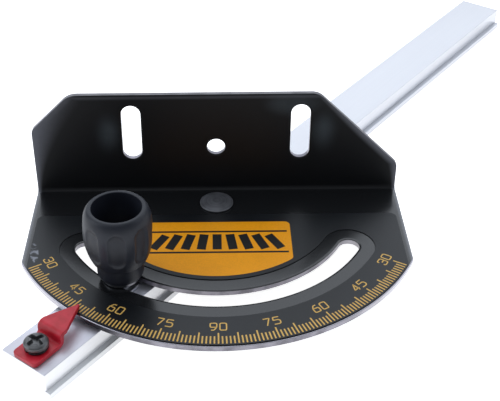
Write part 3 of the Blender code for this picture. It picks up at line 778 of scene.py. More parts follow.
def placed_round(radius: np.ndarray | float, angle: np.ndarray, height: np.ndarray | float,
                 centre: tuple[float, float]) -> np.ndarray:
    """Place points round an upright axis, at (centre + radius * (cos a, sin a), height).

    Args:
        radius: distances from the axis, in an array that spreads over the grid.
        angle: angles about it, likewise.
        height: heights, likewise.
        centre: where the axis stands.

    Returns:
        The grid of points.
    """
    x = centre[0] + radius * np.cos(angle)
    y = centre[1] + radius * np.sin(angle)
    return np.stack([x, y, height + 0.0 * x], axis=-1)


def spun(profile: np.ndarray, columns: int, centre: tuple[float, float]) -> np.ndarray:
    """Return a profile of (radius, height) turned round an upright axis, as a grid of points."""
    return placed_round(profile[:, :1], full_turn(columns), profile[:, 1:2], centre)


def grid_faces(rows: int, columns: int, across: bool = False, around: bool = True) -> np.ndarray:
    """Join a grid's points by quads.

    Args:
        rows: points along the first parameter.
        columns: points along the second.
        across: whether the last row joins the first.
        around: whether the last column joins the first.

    Returns:
        The quads as rows of four indexes.
    """
    i = np.arange(rows if across else rows - 1)[:, None]
    j = np.arange(columns if around else columns - 1)[None, :]
    a, b = i % rows, (i + 1) % rows
    c, d = j % columns, (j + 1) % columns
    quads = [a * columns + c, a * columns + d, b * columns + d, b * columns + c]
    return np.stack(quads, axis=-1).reshape(-1, 4)


def turned_about_z(points: np.ndarray, angle: float) -> np.ndarray:
    """Return points turned about Z: (x cos a - y sin a, x sin a + y cos a, z)."""
    c, s = math.cos(angle), math.sin(angle)
    return points @ np.array([[c, s, 0.0], [-s, c, 0.0], [0.0, 0.0, 1.0]])


def new_piece(name: str, points: np.ndarray, faces: list | np.ndarray, body: str,
              finishes: list[bpy.types.Material], replaces: str = "",
              finish_of: np.ndarray | None = None, normals: np.ndarray | None = None,
              sharp: float = 38.0) -> None:
    """Make a finished piece that rides on a body.

    Args:
        name: the piece's name.
        points: its points in the frame, in metres.
        faces: its faces, as indexes.
        body: the body that it moves with.
        finishes: its materials.
        replaces: the solid that it stands for.
        finish_of: which material each face takes.
        normals: one normal a point, where they are known. The faces then already point outwards.
        sharp: edges that bend by more degrees than this stay crisp.
    """
    mesh = bpy.data.meshes.new(name)
    mesh.from_pydata(np.asarray(points).reshape(-1, 3).tolist(), [],
                     faces.tolist() if isinstance(faces, np.ndarray) else faces)
    if finish_of is not None:
        mesh.polygons.foreach_set("material_index", np.asarray(finish_of, np.int32))
    mesh.shade_smooth()
    if normals is None:
        work = bmesh.new()
        work.from_mesh(mesh)
        bmesh.ops.remove_doubles(work, verts=work.verts, dist=0.0005 * MM)
        bmesh.ops.recalc_face_normals(work, faces=work.faces)
        work.to_mesh(mesh)
        work.free()
        mesh.set_sharp_from_angle(angle=math.radians(sharp))
    else:
        mesh.normals_split_custom_set_from_vertices(normals.tolist())
    for finish in finishes:
        mesh.materials.append(finish)
    item = bpy.data.objects.new(name, mesh)
    bpy.context.collection.objects.link(item)
    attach(item, body)
    if replaces:
        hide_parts(replaces)
    LOG.info("%s: %d faces on %s", name, len(mesh.polygons), body)


def arc(centre: tuple[float, float], radius: float, start: float, end: float,
        steps: int) -> np.ndarray:
    """Return points of an arc, from one angle in degrees to another, both ends included."""
    angle = np.radians(np.linspace(start, end, steps + 1))
    return placed_round(radius, angle, 0.0, centre)[:, :2]


def rim_and_corners(radius: float, half: float,
                    corner: float) -> tuple[np.ndarray, np.ndarray, np.ndarray]:
    """Draw a round rim about the pivot, and the corners where it meets two upright sides.

    A corner's centre lies corner inside both the side and the rim, so that its arc runs smoothly
    into them.

    Args:
        radius: the rim's radius.
        half: how far each side is from the pivot.
        corner: the corners' radius.

    Returns:
        The left corner from the side down, the rim from left to right, and the right corner up to
        the side. A point that two of them share is in the rim alone.
    """
    x = half - corner
    y = -math.sqrt((radius - corner) ** 2 - x ** 2)
    end = math.degrees(math.atan2(y, x))
    left = arc((-x, y), corner, 180.0, 180.0 - end, CORNER_STEPS)[:-1]
    rim = arc((0.0, 0.0), radius, 180.0 - end, 360.0 + end, RIM_STEPS)
    right = arc((x, y), corner, end, 0.0, CORNER_STEPS)[1:]
    return left, rim, right


def left_of(steps: np.ndarray) -> np.ndarray:
    """Return the unit normal to the left of each step (dx, dy): (-dy, dx) over its length."""
    turned = np.stack([-steps[:, 1], steps[:, 0]], axis=1)
    return turned / np.linalg.norm(steps, axis=1, keepdims=True)


def mitred(first: np.ndarray, second: np.ndarray) -> np.ndarray:
    """Return the miter of two unit normals at each corner: (n1 + n2) / (1 + n1.n2)."""
    return (first + second) / (1.0 + np.sum(first * second, axis=1, keepdims=True))


@dataclass(frozen=True)
class Fold:
    """A folded sheet's side view: straight runs and bends laid end to end in the YZ plane.

    A run is (length, turn): it is straight where the turn is 0, and otherwise an arc whose length
    is measured on the sheet's top face.
    """

    start: tuple[float, float]
    runs: tuple[tuple[float, float], ...]

    def reach(self, index: int) -> float:
        """Return how far along the sheet a run starts."""
        return sum(length for length, _ in self.runs[:index])

    def carry(self, flat: np.ndarray, depth: np.ndarray) -> tuple[np.ndarray, np.ndarray]:
        """Fold points of the blank.

        A point at distance s along the sheet starts at the fold's start and travels each run in
        turn, by r(sin h1 - sin h0) and r(cos h0 - cos h1) on a bend from heading h0 to h1 and by
        its length times (cos h, sin h) on a straight. It then sinks by its depth along -(up).

        Args:
            flat: the blank's points, as (x, distance).
            depth: how far below the top face each point lies.

        Returns:
            The folded points and the direction up from the sheet at each.
        """
        x, s = flat[:, 0], flat[:, 1]
        y, z = np.full_like(s, self.start[0]), np.full_like(s, self.start[1])
        heading, begun, before = np.zeros_like(s), 0.0, 0.0
        for length, turn in self.runs:
            gone = np.clip(s - begun, 0.0, length)
            if turn:
                radius, swept = length / turn, gone * turn / length
                y += radius * (np.sin(before + swept) - math.sin(before))
                z += radius * (math.cos(before) - np.cos(before + swept))
                heading += swept
            else:
                y += gone * math.cos(before)
                z += gone * math.sin(before)
            begun += length
            before += turn
        up = np.stack([0.0 * x, -np.sin(heading), np.cos(heading)], axis=1)
        return np.stack([x, y, z], axis=1) - up * depth[:, None], up


@dataclass
class Sheet:
    """A sheet with holes, folded or flat, with its cut edges rounded.

    Each loop of its blank is drawn again for every step of the edge's profile, moved in by the
    profile's inset and down by its depth: a quarter circle (r(1 - sin a), r(1 - cos a)) at the
    top, and its mirror image at the bottom. Shearing also rolls the top edge over: the face sinks
    by D t^2 there, with t from 0 to 1 over the roll's width. A roll is given as (width, D). The
    flat faces are filled inside the first and the last of these rows.
    """

    loops: list[np.ndarray]
    fold: Fold
    thickness: float
    edge: float
    creases: list[tuple[int, int]] = field(default_factory=list)
    edge_steps: int = 4
    roll: tuple[float, float] = (0.0, 0.0)
    hole_roll: tuple[float, float] = (0.0, 0.0)
    roll_steps: int = 7

    def inward(self, loop: np.ndarray) -> np.ndarray:
        """Find each point's step into the sheet, the miter (n1 + n2) / (1 + n1.n2) of its sides.

        Args:
            loop: a loop of the blank, with the sheet on its left.

        Returns:
            The step at each point for an inset of 1.
        """
        first = left_of(loop - np.roll(loop, 1, axis=0))
        second = left_of(np.roll(loop, -1, axis=0) - loop)
        return mitred(first, second)

    def edge_rows(self, roll: tuple[float, float]) -> tuple[np.ndarray, np.ndarray, np.ndarray]:
        """Draw the profile of an edge, from the top face down.

        Args:
            roll: the width and the drop of the rolled-over top edge, or zeros.

        Returns:
            The inset, the depth and the lean from upright of each row.
        """
        lean = np.linspace(0.0, math.pi / 2.0, self.edge_steps + 1)
        inset = self.edge * (1.0 - np.sin(lean))
        depth = self.edge * (1.0 - np.cos(lean))
        width, drop = roll
        insets = np.concatenate([inset, inset[::-1]])
        depths = np.concatenate([drop + depth, self.thickness - depth[::-1]])
        leans = np.concatenate([lean, math.pi - lean[::-1]])
        if not width:
            return insets, depths, leans
        part = np.linspace(0.0, 1.0, self.roll_steps, endpoint=False)
        tilt = np.arctan(2.0 * drop / width * np.append(part, 1.0))
        leans[0] = tilt[-1]
        return (np.concatenate([self.edge + width * (1.0 - part), insets]),
                np.concatenate([drop * part ** 2, depths]), np.concatenate([tilt[:-1], leans]))

    def build(self) -> tuple[np.ndarray, list[tuple[int, ...]], np.ndarray, np.ndarray]:
        """Build the sheet.

        Returns:
            Its points, its faces, what each face is (0 a flat one, 1 the outline's edge, 2 a
            hole's) and a normal for each point.
        """
        points, normals, faces, kinds = [], [], [], []
        starts, ends, caps, count = [], [], [], 0
        for number, loop in enumerate(self.loops):
            insets, depths, leans = self.edge_rows(self.hole_roll if number else self.roll)
            rows, step, size = len(insets), self.inward(loop), len(loop)
            flat = (loop[None] + insets[:, None, None] * step[None]).reshape(-1, 2)
            placed, up = self.fold.carry(flat, np.repeat(depths, size))
            flat_out = -np.tile(step / np.linalg.norm(step, axis=1, keepdims=True), (rows, 1))
            forward = np.cross(up, np.tile([[1.0, 0.0, 0.0]], (len(up), 1)))
            out = flat_out[:, :1] * np.array([[1.0, 0.0, 0.0]]) + flat_out[:, 1:] * forward
            tilt = np.repeat(leans, size)[:, None]
            points.append(placed)
            normals.append(np.cos(tilt) * up + np.sin(tilt) * out)
            quads = grid_faces(rows, size) + count
            faces += [tuple(quad) for quad in quads[:, ::-1].tolist()]
            # The wall and the rounding below it are cut edge, and what is above it is flat face.
            cut = np.repeat(np.arange(rows - 1), size) >= rows - self.edge_steps - 2
            kinds += (cut * (1 if number == 0 else 2)).tolist()
            starts.append(count + np.arange(size))
            count += rows * size
            ends.append(count - size + np.arange(size))
            caps.append(loop + insets[0] * step)
        flat_faces = filled(caps, self.creases)
        first, last = np.concatenate(starts), np.concatenate(ends)
        faces += [tuple(first[list(face)].tolist()) for face in flat_faces]
        faces += [tuple(last[list(face[::-1])].tolist()) for face in flat_faces]
        kinds += [0] * (2 * len(flat_faces))
        return np.vstack(points), faces, np.array(kinds), np.vstack(normals)


# The pieces of the gauge.


@dataclass
class GuideBar:
    """The guide bar: a T section with a channel underneath, drilled through in three places."""

    half_width: float = 19.05 * MM / 2
    height: float = 9.5 * MM
    flange: float = 22.2 * MM / 2
    flange_height: float = 2.4 * MM
    relief: float = 0.5 * MM
    channel: float = 10.2 * MM / 2
    ceiling: float = 3.7 * MM
    near: float = -99.1 * MM
    far: float = 225.0 * MM
    edge: float = 0.22 * MM
    end_round: float = 0.10 * MM
    cap_inset: float = 0.14 * MM
    end_steps: int = 3
    holes: tuple[tuple[float, float, float], ...] = (
        (0.0, 0.0, 3.8 * MM), (*CLAMP_AT, 3.3 * MM), (*SCREW_AT, 2.3 * MM))
    hole_columns: int = 48

    def section(self) -> np.ndarray:
        """Draw the section.

        Returns:
            Its points (x, z), anticlockwise from the right of the channel's ceiling.
        """
        inner, foot = self.half_width - self.relief, self.flange_height + self.relief
        right = [(self.channel, self.ceiling), (self.channel, 0.0), (self.flange, 0.0),
                 (self.flange, self.flange_height), (inner, self.flange_height), (inner, foot),
                 (self.half_width, foot), (self.half_width, self.height)]
        corners = np.array(right + [(-x, z) for x, z in reversed(right)])
        return eased(corners, self.edge, 4, closed=True)

    def carried(self, section: np.ndarray) -> np.ndarray:
        """Carry the section along Y, drawn in at both ends.

        A row is the section moved in by r(1 - sin a) at y = end + r(1 - cos a), with one more row
        further in on each end face, so that its shading stays flat.

        Args:
            section: the section as (x, z).

        Returns:
            The grid of points, with a row for each place along Y.
        """
        inward = left_of(np.roll(section, -1, axis=0) - np.roll(section, 1, axis=0))
        lean = np.linspace(0.0, math.pi / 2, self.end_steps + 1)
        inset = np.append(self.cap_inset, self.end_round * (1.0 - np.sin(lean)))
        back = np.append(0.0, self.end_round * (1.0 - np.cos(lean)))
        insets = np.concatenate([inset, inset[::-1]])
        places = np.concatenate([self.near + back, self.far - back[::-1]])
        flat = section[None] + insets[:, None, None] * inward[None]
        along = np.broadcast_to(places[:, None], flat.shape[:2])
        return np.stack([flat[..., 0], along, flat[..., 1]], axis=-1)

    def build(self) -> None:
        """Build the bar: its long faces, its two ends and the walls of its three holes.

        The long quad of the top and that of the channel's ceiling are left out, and both are
        filled again with the holes left open.
        """
        section = self.section()
        grid = self.carried(section)
        rows, columns = grid.shape[:2]
        width = np.abs(np.roll(section[:, 0], -1) - section[:, 0])
        level = (section[:, 1] + np.roll(section[:, 1], -1)) / 2.0
        top = int(np.argmax(width * (level > self.height / 2)))
        ceiling = int(np.argmax(width * (level < self.height / 2) * (level > self.flange_height)))
        quads = grid_faces(rows, columns)
        long_row = rows // 2 - 1
        keep = np.ones(len(quads), bool)
        keep[[long_row * columns + top, long_row * columns + ceiling]] = False
        faces = [tuple(quad) for quad in quads[keep].tolist()]
        cap = filled([grid[0][:, [0, 2]]], [])
        last = (rows - 1) * columns
        faces += cap + [tuple(last + corner for corner in reversed(face)) for face in cap]
        rounds = [arc((x, y), radius, 0.0, 360.0, self.hole_columns)[:-1]
                  for x, y, radius in self.holes]
        ring = np.vstack(rounds)
        points = [grid.reshape(-1, 3)]
        size = self.hole_columns
        for shift, (column, z) in enumerate(((top, self.height), (ceiling, self.ceiling))):
            near, beside = long_row * columns, (column + 1) % columns
            far = near + columns
            corners = np.array([near + column, near + beside, far + beside, far + column])
            start = rows * columns + shift * len(ring)
            index = np.concatenate([corners, start + np.arange(len(ring))])
            faces += [tuple(index[list(face)].tolist())
                      for face in filled([points[0][corners][:, :2], *rounds], [])]
            points.append(np.column_stack([ring, np.full(len(ring), z)]))
        for hole in range(len(self.holes)):
            start = rows * columns + hole * size + np.arange(size)
            after = np.roll(start, -1)
            walls = np.stack([start, after, after + len(ring), start + len(ring)], axis=1)
            faces += [tuple(lit_wall) for lit_wall in walls.tolist()]
        new_piece("guide_bar", np.vstack(points), faces, "bar", [DrawnAluminium().make()],
                  "miter_bar", sharp=40.0)


@dataclass
class ProtractorHead:
    """The folded head: plate with its arc slot, fence with two slots, a hole and cut corners.

    A roll is the width and the drop of an edge that shearing has rolled over.
    """

    top: float = 13.1 * MM
    thickness: float = 2.1 * MM
    radius: float = 75.7 * MM
    half: float = 75.7 * MM * math.sin(math.radians(63.6))
    corner: float = 3.0 * MM
    fence_corners: tuple[float, ...] = (4.0 * MM, 6.0 * MM, 7.0 * MM, 3.6 * MM)
    setback: float = 9.3 * MM
    bend: float = 1.5 * MM
    fence: float = 41.3 * MM
    side_left: float = 26.6 * MM
    side_right: float = 10.7 * MM
    slot_x: float = 31.0 * MM
    top_left: float = 22.1 * MM
    top_right: float = 6.2 * MM
    slot_low: float = 14.0 * MM
    slot_high: float = 36.8 * MM
    slot_half: float = 3.55 * MM
    hole_at: float = 19.0 * MM
    hole_radius: float = 3.35 * MM
    pivot_radius: float = 3.8 * MM
    arc_radius: float = 53.2 * MM
    arc_reach: float = 60.5
    arc_half: float = 3.7 * MM
    edge: float = 0.18 * MM
    roll: tuple[float, float] = (2.2 * MM, 0.17 * MM)
    hole_roll: tuple[float, float] = (0.7 * MM, 0.14 * MM)
    bend_steps: int = 10

    def fold(self) -> Fold:
        """Return the head's fold, from the rim to the fence's top edge."""
        quarter = math.pi / 2.0
        return Fold((-self.radius, self.top), (
            (self.radius + self.setback - self.bend, 0.0), (self.bend * quarter, quarter),
            (self.fence - self.bend, 0.0)))

    def outline(self) -> tuple[np.ndarray, list[tuple[int, int]]]:
        """Draw the blank's outline, anticlockwise from the rim's left end.

        Returns:
            The outline, and the pairs of its points that the bend's creases join.
        """
        fold = self.fold()
        left, rim, right = rim_and_corners(self.radius, self.half, self.corner)
        creases = fold.reach(1) + np.linspace(0.0, 1.0, self.bend_steps + 1) * fold.runs[1][0]
        base = fold.reach(2) - self.bend
        corners = np.array([
            (self.half, self.side_right), (self.slot_x + self.top_right, self.fence),
            (-self.slot_x - self.top_left, self.fence), (-self.half, self.side_left)])
        before = np.vstack([[self.half, self.bend], corners, [-self.half, self.bend]])
        fence = rounded(before, np.array(self.fence_corners))[1:-1] + (0.0, base)
        shift = np.array([0.0, self.radius])
        up = np.stack([np.full_like(creases, self.half), creases], axis=1)
        down = up[::-1] * (-1.0, 1.0)
        parts = [rim + shift, right + shift, up, fence, down, left + shift]
        starts = np.cumsum([0] + [len(part) for part in parts])
        joins = [(int(starts[2] + i), int(starts[5] - 1 - i)) for i in range(len(creases))]
        return np.vstack(parts), joins

    def arc_slot(self, half: float) -> np.ndarray:
        """Draw a slot with round ends about the pivot.

        Args:
            half: half the slot's width.

        Returns:
            Its outline, clockwise, measured from the pivot.
        """
        low, high = -90.0 - self.arc_reach, -90.0 + self.arc_reach

        def end(angle: float) -> tuple[float, float]:
            """Return the centre of the slot's round end at an angle."""
            a = math.radians(angle)
            return (self.arc_radius * math.cos(a), self.arc_radius * math.sin(a))

        loop = np.vstack([
            arc((0.0, 0.0), self.arc_radius + half, low, high, 90),
            arc(end(high), half, high, high + 180.0, 20)[1:-1],
            arc((0.0, 0.0), self.arc_radius - half, high, low, 90),
            arc(end(low), half, low + 180.0, low + 360.0, 20)[1:-1]])
        return loop[::-1]

    def build(self) -> None:
        """Build the head, with bare steel on the rim and in the holes, and a coated fence edge."""
        fold = self.fold()
        outline, creases = self.outline()
        base = fold.reach(2) - self.bend
        plate = np.array([0.0, self.radius])
        loops = [outline, self.arc_slot(self.arc_half) + plate,
                 arc((0.0, 0.0), self.pivot_radius, 0.0, -360.0, HOLE_STEPS)[:-1] + plate,
                 arc((0.0, self.hole_at + base), self.hole_radius, 0.0, -360.0, HOLE_STEPS)[:-1]]
        for x in (-self.slot_x, self.slot_x):
            loops.append(np.vstack([
                arc((x, self.slot_low + self.slot_half + base), self.slot_half, 0.0, -180.0, 24),
                arc((x, self.slot_high - self.slot_half + base), self.slot_half, 180.0, 0.0, 24)]))
        sheet = Sheet(loops, fold, self.thickness, self.edge, creases, roll=self.roll,
                      hole_roll=self.hole_roll)
        points, faces, part, normals = sheet.build()
        level = np.array([points[list(face), 2].max() for face in faces])
        # One row for the plate and one for the fence: flat face, outline's edge, hole's edge.
        coat_of = np.array([[0, 1, 1], [2, 3, 1]])
        finish = coat_of[(level > self.top + 0.05 * MM).astype(int), part]
        # The fence takes a darker, duller copy of the plate's enamel: painted shade on its upright
        # face.
        fence_enamel = BlackEnamel(
            "fence_enamel", colour=(0.0066, 0.0070, 0.0081), roughness=0.42, gloss=0.21)
        coated_edge = ShearedSteel(
            "coated_edge", colour=(0.225, 0.218, 0.232), dark=(0.140, 0.135, 0.147),
            painted_sheen=(0.23, 0.22, 0.24), roughness=0.45, metallic=0.1)
        coats = [BlackEnamel().make(), ShearedSteel().make(), fence_enamel.make(),
                 coated_edge.make()]
        new_piece("head_sheet", turned_about_z(points, HEAD_TURN), faces, "head", coats,
                  "protractor_head", finish, turned_about_z(normals, HEAD_TURN))


class Digit(Enum):
    """The scale's squarish numerals.

    Each holds how far its corners are eased, in millimetres, and its strokes in a cell that is 1
    wide and 1 high. A stroke that ends where it starts is closed.
    """

    ZERO = (0.62, ((0.5, 0), (1, 0), (1, 1), (0, 1), (0, 0), (0.5, 0)))
    THREE = (0.62, ((0, 0.76), (0, 1), (1, 1), (1, 0), (0, 0), (0, 0.24)),
             ((0.3, 0.52), (0.95, 0.52)))
    FOUR = (0.12, ((0.78, 0), (0.78, 1), (0, 0.26), (1.06, 0.26)))
    FIVE = (0.20, ((1.02, 1), (0.1, 1), (0, 0.58), (0.8, 0.6), (1.06, 0.46), (1.06, 0.16),
                   (0.86, 0), (0, 0)))
    SIX = (0.50, ((0.88, 1), (0.4, 1), (0, 0.55), (0, 0), (1, 0), (1, 0.58), (0.08, 0.58)))
    SEVEN = (0.25, ((0, 1), (1, 1), (0.32, 0)))
    NINE = (0.50, ((0.12, 0), (0.6, 0), (1, 0.45), (1, 1), (0, 1), (0, 0.42), (0.92, 0.42)))


NUMERALS = {"0": Digit.ZERO, "3": Digit.THREE, "4": Digit.FOUR, "5": Digit.FIVE,
            "6": Digit.SIX, "7": Digit.SEVEN, "9": Digit.NINE}


def slab(outline: np.ndarray, low: float, high: float, count: int = 0) -> tuple[np.ndarray, list]:
    """Make a flat printed shape a thin closed slab.

    Args:
        outline: its outline, anticlockwise.
        low: its underside.
        high: its top.
        count: how many points came before it.

    Returns:
        Its points and faces.
    """
    size = len(outline)
    points = np.vstack([np.column_stack([outline, np.full(size, z)]) for z in (low, high)])
    ring = np.arange(size)
    after = (ring + 1) % size
    walls = np.stack([ring, after, after + size, ring + size], axis=1) + count
    faces = [tuple(face) for face in walls.tolist()]
    faces += [tuple((ring[::-1] + count).tolist()), tuple((ring + size + count).tolist())]
    return points, faces


def stroke(path: np.ndarray, width: float, corner: float, closed: bool) -> np.ndarray:
    """Draw a printed stroke of even width along a path.

    The path's corners are eased, and each point p gives p + m w/2 and p - m w/2, where m is the
    miter of its two sides.

    Args:
        path: the points along its middle.
        width: how wide it is.
        corner: how far from a corner its easing starts.
        closed: whether it ends where it starts.

    Returns:
        Its left side and its right side, stacked.
    """
    smooth = eased(path, corner, 4)
    left = left_of(np.diff(smooth, axis=0))
    first = np.vstack([left[-1:] if closed else left[:1], left])
    last = np.vstack([left, left[:1] if closed else left[-1:]])
    miter = mitred(first, last)
    return np.stack([smooth + miter * width / 2.0, smooth - miter * width / 2.0])


def raised_stroke(sides: np.ndarray, low: float, high: float, closed: bool,
                  count: int) -> tuple[np.ndarray, list[tuple[int, ...]]]:
    """Make a flat stroke a thin solid.

    Args:
        sides: its left and its right side, stacked.
        low: its underside.
        high: its top.
        closed: whether it ends where it starts. An open one gets two end faces.
        count: how many points came before it.

    Returns:
        Its points and faces.
    """
    size = sides.shape[1]
    grid = np.stack([np.concatenate([sides, np.full((2, size, 1), z)], axis=-1)
                     for z in (low, high)])
    ring = grid.reshape(4, size, 3)[[0, 1, 3, 2]]
    quads = grid_faces(4, size, across=True, around=False) + count
    faces = [tuple(quad) for quad in quads.tolist()]
    if not closed:
        ends = np.arange(4) * size + count
        faces += [tuple(ends.tolist()), tuple((ends + size - 1)[::-1].tolist())]
    return ring.reshape(-1, 3), faces


@dataclass
class ScaleLabel:
    """The stuck-on label and all that is printed on it."""

    top: float = 13.4 * MM
    bottom: float = 13.2 * MM
    half: float = 65.6 * MM
    radius: float = 75.2 * MM
    corner: float = 2.5 * MM
    edge_y: float = -7.3 * MM
    edge: float = 0.06 * MM
    window_half: float = 9.2 * MM
    ink: float = 0.02 * MM
    tick_outer: float = 74.7 * MM
    tick_long: float = 69.9 * MM
    tick_short: float = 71.4 * MM
    tick_width: float = 0.50 * MM
    numeral_radius: float = 67.0 * MM
    numeral_height: float = 3.2 * MM
    numeral_width: float = 2.1 * MM
    numeral_pitch: float = 3.1 * MM
    numeral_stroke: float = 0.43 * MM
    numeral_spread: float = 0.988
    panel_half: float = 26.3 * MM
    panel_top: float = -12.0 * MM
    panel_arc: float = 42.2 * MM
    panel_corner: float = 1.9 * MM
    panel_tip: float = 0.9 * MM
    rule_at: tuple[float, float] = (-17.7 * MM, -29.4 * MM)
    rule_half: tuple[float, float] = (25.0 * MM, 0.46 * MM)
    fan_bars: int = 9
    fan_y: float = -23.55 * MM
    fan_pitch: float = 5.1 * MM
    fan_lean: float = 7.5
    fan_half: tuple[float, float] = (1.6 * MM, 4.3 * MM)

    def printed(self, name: str, points: np.ndarray, faces: list, ink: Ink) -> None:
        """Turn a printed shape into its piece."""
        new_piece(name, turned_about_z(points, HEAD_TURN), faces, "head", [ink.make()])

    def film(self) -> None:
        """Build the film, with its window round the arc slot."""
        left, rim, right = rim_and_corners(self.radius, self.half, self.corner)
        inner_x, top_y = self.half - self.corner, self.edge_y - self.corner
        outline = np.vstack([
            rim, right, arc((inner_x, top_y), self.corner, 0.0, 90.0, CORNER_STEPS),
            arc((-inner_x, top_y), self.corner, 90.0, 180.0, CORNER_STEPS), left])
        window = ProtractorHead().arc_slot(self.window_half)
        shift = np.array([0.0, self.radius])
        flat = Fold((-self.radius, self.top), ((2.0 * self.radius, 0.0),))
        sheet = Sheet([outline + shift, window + shift], flat, self.top - self.bottom, self.edge)
        points, faces, _, normals = sheet.build()
        new_piece("label_film", turned_about_z(points, HEAD_TURN), faces, "head",
                  [LabelFilm().make()], "scale_label",
                  normals=turned_about_z(normals, HEAD_TURN))

    def ticks(self) -> None:
        """Build the degree marks: a bar at each degree, longer at every fifth.

        A mark's corner at angle a, reach r and side w is r(sin a, -cos a) + w(cos a, sin a).
        """
        degree = np.arange(-60, 61)
        angle = np.radians(degree)[:, None]
        inner = np.where(degree % 5 == 0, self.tick_long, self.tick_short)[:, None]
        outer = np.full_like(inner, self.tick_outer)
        reach = np.concatenate([inner, inner, outer, outer], axis=1)
        side = np.array([[-0.5, 0.5, 0.5, -0.5]]) * self.tick_width
        x = reach * np.sin(angle) + side * np.cos(angle)
        y = -reach * np.cos(angle) + side * np.sin(angle)
        low, high = self.top, self.top + self.ink
        points = np.concatenate([np.stack([x, y, 0 * x + z], axis=-1) for z in (low, high)], axis=1)
        box = np.array([(0, 1, 2, 3), (7, 6, 5, 4), (0, 4, 5, 1), (1, 5, 6, 2), (2, 6, 7, 3),
                        (3, 7, 4, 0)])
        faces = (box[None] + 8 * np.arange(len(degree))[:, None, None]).reshape(-1, 4)
        self.printed("scale_marks", points.reshape(-1, 3), faces, Ink.GOLD)

    def numerals(self) -> None:
        """Build the numerals, each upright towards the pivot."""
        points, faces, count = [], [], 0
        texts = ("30", "45", "60", "75", "90", "75", "60", "45", "30")
        for degree, text in zip(range(-60, 61, 15), texts):
            a = math.radians(degree * self.numeral_spread)
            along = np.array([math.cos(a), math.sin(a)])
            inward = np.array([-math.sin(a), math.cos(a)])
            for place, letter in zip((-0.5, 0.5), text):
                corner, *lines = NUMERALS[letter].value
                for line in lines:
                    path = (np.array(line, float) - 0.5) * (self.numeral_width, self.numeral_height)
                    path[:, 0] += place * self.numeral_pitch
                    closed = line[0] == line[-1]
                    sides = stroke(path, self.numeral_stroke, corner * MM, closed)
                    flat = sides[..., :1] * along + sides[..., 1:] * inward
                    flat = flat - inward * self.numeral_radius
                    more, walls = raised_stroke(flat, self.top, self.top + self.ink, closed, count)
                    points.append(more)
                    faces += walls
                    count += len(more)
        self.printed("scale_numerals", np.vstack(points), faces, Ink.GOLD)

    def panel(self) -> None:
        """Build the yellow panel: an arc about the pivot, two upright sides and a level top."""
        half, corner, tip = self.panel_half, self.panel_corner, self.panel_tip
        side_y = -math.sqrt(self.panel_arc ** 2 - half ** 2)
        top = self.panel_top - corner
        end = math.degrees(math.atan2(side_y, half)) - 1.6
        foot = eased(np.array([(half - tip, side_y - 0.6 * MM), (half, side_y + 0.1 * MM),
                               (half, side_y + 3.0 * MM)]), tip, 6)[1:]
        outline = np.vstack([
            arc((0.0, 0.0), self.panel_arc, 180.0 - end, 360.0 + end, 60), foot,
            arc((half - corner, top), corner, 0.0, 90.0, CORNER_STEPS),
            arc((-half + corner, top), corner, 90.0, 180.0, CORNER_STEPS),
            foot[::-1] * (-1.0, 1.0)])
        points, faces = slab(outline, self.top, self.top + self.ink)
        self.printed("label_panel", points, faces, Ink.YELLOW)

    def panel_print(self) -> None:
        """Build the panel's two rules and the plain fan of bars between them."""
        points, faces, count = [], [], 0
        low, high = self.top + self.ink, self.top + 2 * self.ink
        signs = np.array([(-1.0, -1.0), (1.0, -1.0), (1.0, 1.0), (-1.0, 1.0)])
        shapes = [signs * self.rule_half + (0.0, y) for y in self.rule_at]
        for i in range(-(self.fan_bars // 2), self.fan_bars // 2 + 1):
            lean = math.radians(self.fan_lean * i)
            turn = np.array([[math.cos(lean), math.sin(lean)], [-math.sin(lean), math.cos(lean)]])
            shapes.append((signs * self.fan_half) @ turn + (self.fan_pitch * i, self.fan_y))
        for shape in shapes:
            more, sides = slab(shape, low, high, count)
            points.append(more)
            faces += sides
            count += len(more)
        self.printed("panel_rules", np.vstack(points), faces, Ink.BLACK)

    def build(self) -> None:
        """Build the film and everything on it."""
        self.film()
        self.ticks()
        self.numerals()
        self.panel()
        self.panel_print()


@dataclass
class PivotPin:
    """The pivot's low domed head, with a dimple in its middle, on its shank."""

    seat: float = 13.4 * MM
    radius: float = 6.2 * MM
    height: float = 1.3 * MM
    edge: float = 0.4 * MM
    shank: float = 3.5 * MM
    foot: float = 4.1 * MM
    under: float = 0.28 * MM
    bevel: float = 0.2 * MM
    dimple_depth: float = 0.16 * MM
    dimple_radius: float = 1.1 * MM
    columns: int = 96

    def build(self) -> None:
        """Build the pin as a profile turned about Z.

        The dome is a ball of radius (R^2 + h^2) / 2h, less a dimple of d exp(-(r / w)^2).
        """
        rise = self.height - self.edge
        ball = (self.radius ** 2 + rise ** 2) / (2.0 * rise)
        out = np.linspace(self.radius - 0.25 * MM, 0.0, 22)
        dome = self.seat + self.height - ball + np.sqrt(ball ** 2 - out ** 2)
        dome -= self.dimple_depth * np.exp(-(out / self.dimple_radius) ** 2)
        low = self.seat - self.under
        lower = eased(np.array([
            (0.0, self.foot), (self.shank, self.foot), (self.shank, low),
            (self.radius - self.bevel, low), (self.radius, self.seat),
            (self.radius, self.seat + self.edge - 0.05 * MM), (out[0], dome[0])]), self.bevel, 5)
        profile = np.vstack([lower[:-1], np.column_stack([out, dome])])
        steel = TurnedMetal("pin_steel", colour=(0.170, 0.174, 0.190), dark=(0.080, 0.082, 0.090),
                            roughness=0.30, metallic=0.35)
        new_piece("pin_head", spun(profile, self.columns, (0.0, 0.0)),
                  grid_faces(len(profile), self.columns), "bar", [steel.make()],
                  "pivot_pin")


